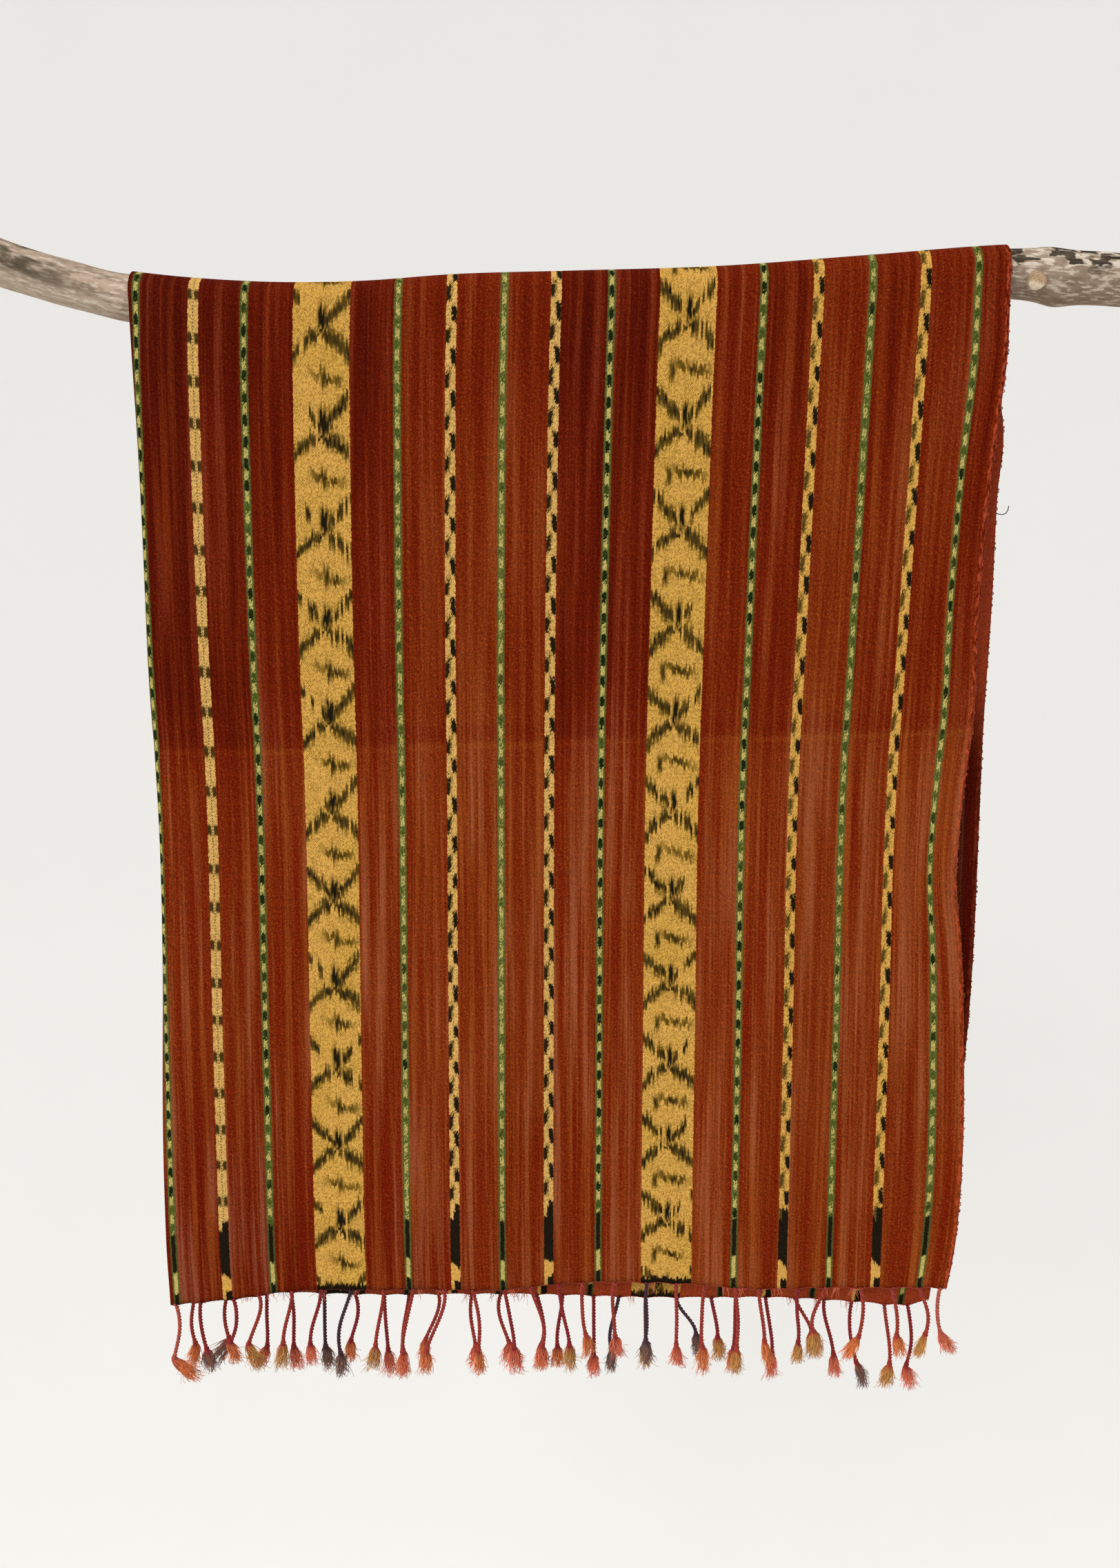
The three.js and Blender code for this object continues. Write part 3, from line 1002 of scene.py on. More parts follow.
        # The gaps between the ribs are mixed towards bronze: partly the weave's own colour, partly
        # painted shade in the recess.
        tan = desk.mix(lay.gap * 0.45, desk.mix(late, Dye.HONEY, Dye.OCHRE), Dye.BRONZE)
        tan = desk.mix(feather.under(0.85, 0.5) * (1.0 - blocks) * 0.85, tan, Dye.OLIVE)
        tan = desk.mix(blocks * gap * 0.9, tan, Dye.OLIVE)
        dark = blocks * (gap * 0.75).most(dots) + (1.0 - blocks) * east.most(west * (0.97 - late * 0.3))
        colour = desk.mix(dark, tan, Dye.SOOT)
        colour = desk.mix(hem.under(self.yellow_clear, 3.0), colour, Dye.OCHRE)
        side = (aside + 1.6).over(0.0, 0.6)
        point = self.end_mark(hem, self.yellow_point).most(hem.under(self.yellow_tip, 2.0))
        ends = self.end_mark(hem + aside, self.yellow_end).most(point * side)
        colour = desk.mix(ends, colour, Dye.SOOT)
        return desk.mix(spread.under(self.yellow_half, 0.6), under, colour)

    def end_mark(self, hem: Field, mark: Pair) -> Field:
        """1 on a mark above the hem, given by its middle and half its height."""
        return abs(hem - mark[0]).under(mark[1], 3.0)

    def blot(self, aside: Field, below: Field, tall: Field) -> Field:
        """Distance to a leaning block on the side of growing places: 1 on its rim."""
        out = abs(aside - 3.1 - below * 3.0) / 2.6
        return out.most(abs(below) / tall)


@dataclass(frozen=True)
class WeatheredWood:
    """Finish of the branch: pale streaks, a smudged left end and flakes of bark at the right.

    Sizes are metres along the branch and up from its axis.
    """

    flake_length: float = 0.025
    flake_height: float = 0.0062
    flakes_from: float = 0.412
    bare_from: float = 0.4
    belly_to: float = -0.45
    smudge_to: float = -0.495
    scar_to: float = -0.52
    dashes: Grain = Grain(80.0, 300.0, 3.0)
    bruises: Grain = Grain(62.0, 250.0, 4.0, 7.0)
    patches: Grain = Grain(34.0, 85.0, 5.0)
    hairs: Grain = Grain(190.0, 620.0, 2.0)

    def material(self) -> bpy.types.Material:
        """Builds the wood's nodes from the place along and round the branch.

        Returns:
            The finished material.
        """
        desk = Desk("weathered_wood", 0.85, 0.1)
        place = desk.node("ShaderNodeAttribute", attribute_name="round").outputs["Vector"]
        along, depth, height = desk.parts(place)
        dashes = self.dashes.at(desk, along, depth, height)
        bruises = self.bruises.at(desk, along, depth, height)
        patches = self.patches.at(desk, along, depth, height)
        hairs = self.hairs.at(desk, along, depth, height)
        colour = desk.mix(desk.step(along, -0.2, 0.35), Dye.BEIGE, Dye.DRIFT)
        colour = desk.mix(desk.step(patches, 0.46, 0.62) * 0.5, colour, Dye.LICHEN)
        colour = desk.mix(desk.step(dashes, 0.5, 0.62) * 0.75, colour, Dye.PALE)
        colour = desk.mix(desk.step(bruises, 0.52, 0.66) * 0.7, colour, Dye.LICHEN)
        # Painted shade: the wood is darkened towards umber along the top and bottom of the round, where
        # it turns away from the front.
        colour = desk.mix(desk.step(abs(height), 0.017, 0.0235) * 0.4, colour, Dye.UMBER)
        smudge = along.under(self.smudge_to, 0.1) * desk.step(0.016 - abs(height - 0.004), -0.003, 0.01)
        smudge = smudge * desk.step(patches * 0.8 + bruises * 0.3, 0.38, 0.6)
        belly = along.under(self.belly_to, 0.1) * desk.step(height * -1.0, 0.002, 0.014)
        colour = desk.mix(belly * 0.25, colour, Dye.PALE)
        colour = desk.mix(smudge * 0.92, colour, Dye.MOULD)
        scar = along.under(self.scar_to, 0.03) * height.over(0.019, 0.003)
        scar = scar * desk.step(bruises, 0.44, 0.54)
        colour = desk.mix(scar * 0.8, colour, Dye.BARK)
        bare = along.over(self.bare_from, 0.05) * height.over(0.0, 0.01)
        bare = bare * desk.step(dashes, 0.44, 0.56)
        colour = desk.mix(bare * 0.7, colour, Dye.PALE)
        bark = self.bark(desk, along + (patches - 0.5) * 0.03, height + (bruises - 0.5) * 0.016)
        crust = desk.mix(desk.step(patches, 0.4, 0.7), Dye.BARK, Dye.MOULD)
        colour = desk.mix(bark * 0.96, colour, crust)
        relief = hairs * 0.4 + dashes * 0.5 + bruises * 0.5 + bark * 0.5
        return desk.finish(desk.shade(colour, hairs * 0.6 + 0.7), relief, 0.0012)

    def bark(self, desk: Desk, along: Field, height: Field) -> Field:
        """Flakes left on the upper half of the right end.

        Rows of blocks run along the branch, each row shifted by chance. A block is kept by chance,
        and a kept flake fills a share of its length that chance sets.

        Args:
            desk: Desk of the finish.
            along: Place along the branch.
            height: Height above its axis.

        Returns:
            1 on a flake and 0 elsewhere.
        """
        rows = height / self.flake_height + 0.3
        row = rows.floor()
        blocks = along / self.flake_length + desk.chance(row, 2.0)
        kept = desk.chance(blocks.floor(), row + 63.0).over(0.5, 0.02)
        share = desk.chance(blocks.floor(), row + 91.0) * 0.35 + 0.2
        inside = abs(blocks.fract() - 0.5).under(share, 0.06)
        inside = inside * abs(rows.fract() - 0.5).under(0.46, 0.1)
        return kept * inside * along.over(self.flakes_from, 0.02) * height.over(-0.001, 0.003)


@dataclass(frozen=True)
class SawnWood:
    """Finish of the sawn twig: a cream face whose upper half is brown with rings, in metres."""

    middle_x: float = 0.463
    middle_z: float = 0.0105
    face_stretch: float = 1.15
    ring: float = 0.0022
    rim: float = 0.0082

    def material(self) -> bpy.types.Material:
        """Builds the rings from the distance to the twig's middle.

        Returns:
            The finished material.
        """
        desk = Desk("sawn_wood", 0.7)
        place = desk.node("ShaderNodeTexCoord").outputs["Object"]
        x, _, z = desk.parts(place)
        side = x - self.middle_x
        rise = (z - self.middle_z) * self.face_stretch
        radius = desk.math("SQRT", side * side + rise * rise)
        cloud = desk.noise(place, 220.0, 3.0)
        rings = abs(((radius + (cloud - 0.5) * 0.006) / self.ring).fract() - 0.5) * 2.0
        heart = (rise + side * 0.3).over(-0.0005, 0.004)
        colour = desk.mix(heart * 0.7, Dye.CREAM, Dye.HEARTWOOD)
        colour = desk.mix(rings * heart * 0.55, colour, Dye.UMBER)
        colour = desk.mix(desk.step(cloud, 0.5, 0.7) * 0.3, colour, Dye.UMBER)
        colour = desk.mix(radius.over(self.rim, 0.0014) * 0.6, colour, Dye.LICHEN)
        return desk.finish(colour, rings * 0.4 + cloud, 0.0004)


@dataclass(frozen=True)
class DyedYarn:
    """Finish of cords, tufts and loose threads, tinted by the colour laid on each strand."""

    name: str
    fibre: float

    def material(self) -> bpy.types.Material:
        """Builds the yarn's nodes from its dye and fine fibres.

        Returns:
            The finished material.
        """
        desk = Desk(self.name, 0.95)
        desk.shader.inputs["Sheen Weight"].default_value = 0.12
        desk.shader.inputs["Sheen Roughness"].default_value = 0.5
        dye = desk.node("ShaderNodeAttribute", attribute_name="dye").outputs["Color"]
        place = desk.node("ShaderNodeTexCoord").outputs["Object"]
        fibres = desk.noise(place, self.fibre, 3.0)
        patches = desk.noise(place, self.fibre / 8.0, 2.0)
        brightness = fibres * 0.7 + patches * 0.5 + 0.38
        return desk.finish(desk.shade(dye, brightness), fibres, 0.0003)


@dataclass(frozen=True)
class StudioPaper:
    """Finish of the pale sweep that the part hangs over."""

    deep: Colour = (0.82, 0.807, 0.783, 1.0)
    pale: Colour = (0.84, 0.827, 0.803, 1.0)

    def material(self) -> bpy.types.Material:
        """Builds a pale matt surface with a faint mottle.

        Returns:
            The finished material.
        """
        desk = Desk("studio_paper", 1.0)
        place = desk.node("ShaderNodeTexCoord").outputs["Object"]
        mottle = desk.noise(place, 2.0, 2.0)
        return desk.finish(desk.mix(mottle, self.deep, self.pale), mottle, 0.0001)


@dataclass
class Branch:
    """Weathered branch with sawn ends and a sawn-off twig.

    A row of the axis is a place along, its height, its depth and the radius there. A swelling is a
    place along, its direction in turns, its rise and its spread. A groove is a depth, how often it
    goes round and how far it follows the drift. A row of the twig's profile is a distance from the
    branch's axis and a share of the twig's radius.
    """

    axis: Array = field(
        default_factory=lambda: table(
            (-600, 44, 3, 23.5), (-505, 15, 1, 22.8), (-440, 0, 0, 22.6), (-320, -10, -1, 22.4),
            (-215, -10, -1, 22.4), (-110, -3, 0, 22.6), (0, 0, 0, 22.6), (150, 5, 1, 22.4),
            (300, 15, 0, 22.6), (435, 24, -1, 23.0), (500, 21, -1, 24.5), (585, 17, 0, 25.0),
        )
    )
    swellings: tuple[tuple[float, float, float, float], ...] = (
        (490.0, 0.74, 4.2, 18.0),
        (478.0, 0.26, 2.6, 18.0),
        (-585.0, 0.30, 1.8, 20.0),
    )
    oval: float = 0.03
    oval_angle: float = 0.5
    ripple: float = 0.02
    ripple_reach: float = 90.0
    drifts: tuple[Wave, ...] = (Wave(0.8, 83.0), Wave(0.5, 31.0, 1.3))
    grooves: tuple[tuple[float, float, float], ...] = ((0.20, 13.0, 1.0), (0.14, 23.0, -1.7))
    lump: float = 0.4
    rings: int = 420
    sides: int = 96
    straight_radius: float = 23.0
    twig_x: float = 463.0
    twig_turn: float = -0.083
    twig_radius: float = 8.6
    twig_sides: int = 40
    twig_profile: Array = field(
        default_factory=lambda: table(
            (8.0, 1.25), (20.0, 1.2), (23.0, 1.12), (24.4, 1.05),
            (25.2, 0.99), (25.7, 0.93), (26.0, 0.8), (26.1, 0.4),
        )
    )
    end_shares: tuple[float, ...] = (0.2, 0.45, 0.7, 0.88, 0.965)
    end_bevel: float = 1.2

    def height(self, x: Array | float) -> Array:
        """Height of the axis."""
        return curve(self.axis, 1, x)

    def depth(self, x: Array | float) -> Array:
        """Depth of the axis."""
        return curve(self.axis, 2, x)

    def radius(self, x: Array | float) -> Array:
        """Mean radius."""
        return curve(self.axis, 3, x)

    def wrap(self, x: Array | float, clear: float) -> Array:
        """Radius of something that goes round the branch with a clearance."""
        return self.radius(x) * (1.0 + self.oval + self.ripple) + clear

    def bark(self, x: Array, angle: Array) -> Array:
        """Radius with the oval section, ripples, swellings and shallow grooves along the grain.

        Args:
            x: Places along the branch.
            angle: Directions about its axis, 0 to the front.

        Returns:
            The radius at each place.
        """
        oval = self.oval * np.cos(2.0 * (angle - self.oval_angle))
        ripple = self.ripple * np.cos(3.0 * angle + x / self.ripple_reach)
        radius = self.radius(x) * (1.0 + oval + ripple)
        for place, turn, rise, spread in self.swellings:
            around = np.maximum(0.0, np.cos(angle - turn * 2.0 * math.pi))
            radius = radius + rise * np.exp(-(((x - place) / spread) ** 2)) * around**3
        drift = sum(wave.at(x) for wave in self.drifts)
        grooves = sum(
            deep * np.sin(often * angle + follow * drift) for deep, often, follow in self.grooves
        )
        lumps = self.lump * np.sin(x / 13.0 + 2.0 * np.sin(angle)) * np.sin(4.0 * angle + x / 47.0)
        return radius + grooves + lumps

    def build(self) -> bpy.types.Object:
        """Rings of bark from end to end, closed by flat sawn ends.

        Returns:
            The branch.
        """
        left = self.axis[0, 0]
        right = self.axis[-1, 0]
        cap = np.array(self.end_shares)
        middle = np.linspace(left + self.end_bevel, right - self.end_bevel, self.rings)
        along = np.concatenate([np.full(len(cap), left), middle, np.full(len(cap), right)])
        share = np.concatenate([cap, np.ones(self.rings), cap[::-1]])
        angle = 2.0 * math.pi * np.arange(self.sides) / self.sides
        x, turn = np.meshgrid(along, angle, indexing="ij")
        reach = self.bark(x, turn) * share[:, None]
        y = self.depth(x) - reach * np.cos(turn)
        z = self.height(x) + reach * np.sin(turn)
        rows = len(along)
        ends = np.array([left, right])
        poles = np.stack([ends, self.depth(ends), self.height(ends)], -1)
        points = np.concatenate([np.stack([x, y, z], -1).reshape(-1, 3), poles])
        here = np.arange(rows)[:, None] * self.sides + np.arange(self.sides)
        following = np.roll(here, -1, axis=1)
        walls = np.stack([here[:-1], here[1:], following[1:], following[:-1]], -1).reshape(-1, 4).tolist()
        pole = np.full(self.sides, rows * self.sides)
        first = np.stack([pole, here[0], following[0]], -1).tolist()
        last = np.stack([pole + 1, following[-1], here[-1]], -1).tolist()
        piece = make_piece("branch_wood", points, walls + first + last)
        flat = self.straight_radius * share[:, None] * MM
        straight = np.stack([x * MM, -flat * np.cos(turn), flat * np.sin(turn)], -1).reshape(-1, 3)
        middles = np.stack([ends * MM, np.zeros(2), np.zeros(2)], -1)
        lay_vector(piece, "round", np.concatenate([straight, middles]))
        piece.data.materials.append(WeatheredWood().material())
        return piece

    def build_twig(self) -> bpy.types.Object:
        """Stub of the sawn twig: rings about a line out of the branch, narrowing to a crowned face.

        Returns:
            The twig.
        """
        profile = self.twig_profile
        angle = 2.0 * math.pi * np.arange(self.twig_sides) / self.twig_sides
        wobble = 1.0 + 0.06 * np.cos(2.0 * angle + 0.6)
        wobble = wobble + 0.05 * np.cos(3.0 * angle) + 0.03 * np.cos(5.0 * angle)
        reach = self.twig_radius * profile[:, 1, None] * wobble
        lean = self.twig_turn * 2.0 * math.pi
        out = profile[:, 0, None]
        x = self.twig_x + reach * np.cos(angle)
        y = self.depth(self.twig_x) - out * math.cos(lean) + reach * np.sin(angle) * math.sin(lean)
        z = self.height(self.twig_x) + out * math.sin(lean) + reach * np.sin(angle) * math.cos(lean)
        faces = tube_faces(1, len(profile), self.twig_sides)
        piece = make_piece("twig_stub", np.stack([x, y, z], -1), faces)
        piece.data.materials.append(SawnWood().material())
        return piece


@dataclass(frozen=True)
class Cord:
    """One cord of a hem: root, sideways swing, hang, bow and lean of its tuft, and its two dyes."""

    root: float
    swing: float
    hang: float
    bow: float
    lean: float
    dye: Dye
    tuft: Dye


@dataclass(frozen=True)
class Half:
    """One hanging half of the cloth.

    A row of its sides is a drop and how far the left and right sides stray to the right of half
    the width there. A row of its hem is a place across and how far the hem sags below the drop.
    """

    name: str
    seed: int
    drop: float
    sides: Array
    hem: Array
    cords: tuple[Cord, ...]

    @property
    def roots(self) -> Array:
        """Places of the cords along the hem."""
        return np.array([cord.root for cord in self.cords])


FRONT = Half(
    "front",
    3,
    1060.0,
    table(
        (0, -2, 2), (80, -5, 0), (330, -6, -7), (525, -3.5, -13),
        (760, -7.5, -10), (1000, -10.5, -8), (1075, -9, -8),
    ),
    table(
        (-445, 18), (-374, 11), (-300, 5), (-200, 0), (-60, -1),
        (50, -6), (150, -4), (300, 0), (425, -1),
    ),
    (
        Cord(-437, -5, 67, 5, 22, Dye.ROSE, Dye.ORANGE),
        Cord(-409, 5, 60, -3, 2, Dye.CRIMSON, Dye.ASH),
        Cord(-373, -6, 56, 5, 7, Dye.CRIMSON, Dye.ORANGE),
        Cord(-345, -16, 63, 5, 10, Dye.BRICK, Dye.GOLD),
        Cord(-309, -13, 67, 0, -3, Dye.BRICK, Dye.GOLD),
        Cord(-277, -14, 68, 0, 0, Dye.CRIMSON, Dye.SALMON),
        Cord(-242, -14, 81, -6, 0, Dye.PLUM, Dye.ASH),
        Cord(-206, -11, 72, 0, -3, Dye.BRICK, Dye.GOLD),
        Cord(-173, -12, 78, -3, 0, Dye.BRICK, Dye.SALMON),
        Cord(-139, -22, 78, 4, 0, Dye.BRICK, Dye.ORANGE),
        Cord(-107, 5, 75, 4, 2, Dye.BRICK, Dye.ORANGE),
        Cord(-72, 9, 73, 2, 3, Dye.CRIMSON, Dye.SALMON),
        Cord(-44, 13, 75, 6, 0, Dye.BRICK, Dye.SALMON),
        Cord(-12, 11, 78, 0, 1, Dye.CRIMSON, Dye.GOLD),
        Cord(15, 4, 67, -3, 2, Dye.BRICK, Dye.ORANGE),
        Cord(50, 2, 69, -3, 3, Dye.BRICK, Dye.SALMON),
        Cord(86, 0, 73, -2, 0, Dye.PLUM, Dye.ASH),
        Cord(118, 2, 79, 0, 2, Dye.BRICK, Dye.SALMON),
        Cord(150, -1, 76, -3, 0, Dye.BRICK, Dye.ORANGE),
        Cord(183, 3, 77, 2, 0, Dye.BRICK, Dye.GOLD),
        Cord(209, 8, 66, 0, 4, Dye.BRICK, Dye.ORANGE),
        Cord(252, 3, 70, 0, 1, Dye.CRIMSON, Dye.GOLD),
        Cord(285, -12, 55, -6, 3, Dye.BRICK, Dye.GOLD),
        Cord(322, -1, 60, 5, -11, Dye.BRICK, Dye.ORANGE),
        Cord(358, 8, 61, 3, 6, Dye.BRICK, Dye.ORANGE),
        Cord(390, 9, 58, 6, -6, Dye.BRICK, Dye.GOLD),
        Cord(415, 4, 58, -4, 9, Dye.ROSE, Dye.SALMON),
    ),
)

BACK = Half(
    "back",
    5,
    1083.0,
    table(
        (0, -1, 2), (60, 0, 9), (130, 0, 20), (190, 0, 16), (300, 0, 14),
        (430, -1, 9), (500, -1, 8), (750, -2, 5), (930, -7, -6), (1090, -12, -24),
    ),
    table(
        (-450, -8), (-330, -7), (-200, -5), (-80, -2), (60, 0),
        (220, 0), (320, 7), (385, 11), (415, 3),
    ),
    (
        Cord(-423, -5, 72, -4, -3, Dye.BRICK, Dye.ORANGE),
        Cord(-384, -3, 65, -7, -18, Dye.BRICK, Dye.ASH),
        Cord(-342, -2, 72, 0, -9, Dye.CRIMSON, Dye.SALMON),
        Cord(-314, 0, 71, 2, 4, Dye.CRIMSON, Dye.SALMON),
        Cord(-276, 0, 67, 0, 4, Dye.PLUM, Dye.ASH),
        Cord(-241, -7, 61, 5, 0, Dye.CRIMSON, Dye.ORANGE),
        Cord(-208, 2, 73, 0, 2, Dye.CRIMSON, Dye.SALMON),
        Cord(-180, -8, 73, -2, -2, Dye.CRIMSON, Dye.GOLD),
        Cord(-147, -16, 59, 4, -1, Dye.BRICK, Dye.ORANGE),
        Cord(-109, 3, 67, -3, 0, Dye.BRICK, Dye.SALMON),
        Cord(-76, 9, 65, -6, -2, Dye.BRICK, Dye.SALMON),
        Cord(-36, 5, 65, 5, 2, Dye.CRIMSON, Dye.GOLD),
        Cord(-6, -6, 67, -1, -1, Dye.CRIMSON, Dye.ORANGE),
        Cord(29, -1, 74, 1, 0, Dye.CRIMSON, Dye.SALMON),
        Cord(58, -9, 68, -3, -1, Dye.PLUM, Dye.ASH),
        Cord(88, -1, 62, 2, 3, Dye.PLUM, Dye.GOLD),
        Cord(123, 24, 50, 0, 3, Dye.PLUM, Dye.ASH),
        Cord(162, 8, 54, 2, 3, Dye.CRIMSON, Dye.GOLD),
        Cord(190, -1, 66, 0, 0, Dye.CRIMSON, Dye.ORANGE),
        Cord(224, 9, 75, 2, 0, Dye.CRIMSON, Dye.SALMON),
        Cord(258, 18, 46, 3, 5, Dye.BRICK, Dye.GOLD),
        Cord(292, 14, 72, -2, 2, Dye.CRIMSON, Dye.SALMON),
        Cord(324, 7, 78, -4, 9, Dye.CRIMSON, Dye.ASH),
        Cord(361, 8, 78, 2, -4, Dye.BRICK, Dye.GOLD),
        Cord(387, 1, 78, 5, 7, Dye.CRIMSON, Dye.SALMON),
    ),
)


@dataclass
class Cloth:
    """The sheet over the branch, from the front hem to the back hem.

    The stray thread is a line of points from its root. A row of the selvedge is a drop and how far
    the front's right edge waves to the right and towards the viewer there. A row of the rolls is a
    drop and how far the front's left edge rolls in. A column of the grid is a span of shares across
    and how many lines it holds. The reach of a weft loop is the least and what chance may add to it.
    """

    branch: Branch
    width: float = 868.0
    length: float = 2220.0
    clear: float = 2.0
    thick: float = 0.9
    wide_fold: Wave = Wave(4.0, 52.0, 0.8)
    narrow_fold: Wave = Wave(1.6, 23.0, 2.0)
    back_fold: Wave = Wave(3.0, 61.0, 2.2)
    open_drop: float = 900.0
    lean: float = 29.0
    lean_drop: float = 760.0
    crease_drop: float = 450.0
    crease_depth: float = 2.0
    crease_spread: float = 28.0
    edge_share: float = 0.1
    quarter: float = 42.0
    roll_width: float = 11.0
    scallop: float = 1.6
    stray_drop: float = 228.0
    stray: Array = field(
        default_factory=lambda: table(
            (0, 0, 0), (4, 0, -1.5), (8, 0, -2), (11.5, 0, -0.5), (13.5, 0, 3), (14, 0, 7)
        )
    )
    columns: tuple[tuple[float, float, int], ...] = ((0.0, 0.015, 9), (0.015, 0.9, 90), (0.9, 1.0, 30))
    front_rows: int = 150
    over_rows: int = 22
    back_rows: int = 110
    loops: int = 460
    loop_seed: int = 11
    loop_sides: int = 4
    loop_radius: float = 0.5
    loop_root: float = 0.9985
    loop_reach: Pair = (0.4, 2.4)
    loop_rise: Pair = (0.8, 2.6)
    loop_sway: float = 0.6
    selvedge: Array = field(
        default_factory=lambda: table(
            (0, -1, 0), (60, 1, 0), (110, -2, 1), (180, -7, 3), (310, -8, 2), (430, -4, 3),
            (490, -8, 4), (590, -12, 6), (670, -3, 3), (780, 4, 0), (900, 8, -2), (1000, 4, 0),
            (1070, -6, 3),
        )
    )
    rolls: Array = field(
        default_factory=lambda: table(
            (0, 0.3), (80, 3.3), (225, 5.6), (410, 4.5), (575, 6.4),
            (700, 5), (840, 1.7), (930, 0.5), (1075, 0),
        )
    )

    def across(self, half: Half, share: Array, drop: Array) -> Array:
        """Place between a half's left and right sides.

        Args:
            half: The half.
            share: Share of the way across.
            drop: Distance below the origin.

        Returns:
            The place across.
        """
        left = -self.width / 2.0 + curve(half.sides, 1, drop)
        right = self.width / 2.0 + curve(half.sides, 2, drop)
        return left + (right - left) * share

    def place(self, half: Half, share: Array, drop: Array) -> tuple[Array, Array]:
        """Sideways place and depth of a half at a drop below the origin.

        The front stands off the branch by its wrap, with folds that open towards the hem, a faint
        crease, a wavy right selvedge and a left edge that rolls back. The back leans in behind it.

        Args:
            half: The half.
            share: Share of the way across.
            drop: Distance below the origin.

        Returns:
            The place across and the depth.
        """
        x = self.across(half, share, drop)
        opening = ease(drop / self.open_drop)
        if half is BACK:
            fold = self.back_fold.at(x) * opening - self.lean * ease(drop / self.lean_drop)
            return x, self.branch.depth(x) + self.branch.wrap(x, self.clear) + fold
        edge = ease((share - (1.0 - self.edge_share)) / self.edge_share)
        x = x + edge * curve(self.selvedge, 1, drop)
        turned = np.clip(1.0 - share * self.width / self.roll_width, 0.0, 1.0)
        roll = curve(self.rolls, 1, drop)
        x = x + roll * turned**2
        fold = self.wide_fold.at(x) * opening + self.narrow_fold.at(x) * opening**2
        fold = fold + self.crease_depth * np.exp(-np.abs(drop - self.crease_drop) / self.crease_spread)
        fold = fold - edge * curve(self.selvedge, 2, drop) + 1.3 * roll * turned**1.5
        return x, self.branch.depth(x) - self.branch.wrap(x, self.clear) + fold

    def hang(self, half: Half, share: Array, down: Array, above: float = 0.0) -> Array:
        """Points of a half: share across, and share of the way down from the axis to the hem.

        Args:
            half: The half.
            share: Share of the way across.
            down: Share of the way down.
            above: Distance above the hem that counts as the whole way.

        Returns:
            Points with a last axis of three.
        """
        x, _ = self.place(half, share, down * half.drop)
        top = self.branch.height(x)
        nearest = np.abs(x[..., None] - half.roots).min(axis=-1)
        rise = self.scallop * (1.0 - np.exp(-((nearest / 8.0) ** 2)))
        bottom = above + rise - half.drop - curve(half.hem, 1, x)
        z = top + (bottom - top) * down
        x, y = self.place(half, share, np.maximum(0.0, -z))
        return np.stack([x, y, z], -1)

    def over(self, share: Array, angle: Array) -> Array:
        """Points over the top of the branch, from the front at angle 0 to the back at half a turn.

        Args:
            share: Share of the way across.
            angle: Angle about the branch's axis.

        Returns:
            Points with a last axis of three.
        """
        x, _ = self.place(FRONT, share, np.zeros_like(share))
        radius = self.branch.wrap(x, self.clear)
        y = self.branch.depth(x) - radius * np.cos(angle)
        return np.stack([x, y, self.branch.height(x) + radius * np.sin(angle)], -1)

    def build(self) -> bpy.types.Object:
        """Grid from hem to hem with even thickness and a map of places across and along.

        Returns:
            The cloth.
        """
        share = np.unique(np.concatenate([np.linspace(*column) for column in self.columns]))
        down = np.linspace(1.0, 0.0, self.front_rows + 1)[:-1]
        angle = np.linspace(0.0, math.pi, self.over_rows + 1)
        rear = np.linspace(0.0, 1.0, self.back_rows + 1)[1:]
        front = self.hang(FRONT, *np.meshgrid(share, down))
        top = self.over(*np.meshgrid(share, angle))
        back = self.hang(BACK, *np.meshgrid(share, rear))
        points = np.concatenate([front, top, back])
        along = np.concatenate(
            [
                self.quarter + down * FRONT.drop,
                self.quarter * (1.0 - angle / (math.pi / 2.0)),
                -self.quarter - rear * BACK.drop,
            ]
        )
        piece = make_piece("cloth_sheet", points, grid_faces(*points.shape[:2]))
        flat = np.stack(np.meshgrid(share * self.width, along), -1) * MM
        lay_map(piece, "lay", flat)
        # The second finish, on the face towards the branch, carries painted shade and painted light.
        for name, reverse in (("ikat_weave", False), ("ikat_weave_reverse_painted_shade_and_light", True)):
            piece.data.materials.append(self.weave(name, reverse).material())
        body = piece.modifiers.new("cloth_body", "SOLIDIFY")
        body.thickness = self.thick * MM
        body.offset = 0.0
        body.material_offset = 1
        return piece

    def weave(self, name: str, reverse: bool) -> IkatWeave:
        """Finish of one face, laid out to the cloth's own sizes.

        Args:
            name: Name of the finish.
            reverse: Whether it is the face towards the branch.

        Returns:
            The finish.
        """
        return IkatWeave(
            name=name,
            reverse=reverse,
            width=self.width,
            front_length=self.quarter + FRONT.drop,
            back_length=self.quarter + BACK.drop,
            quarter=self.quarter,
            crease=self.crease_drop,
        )

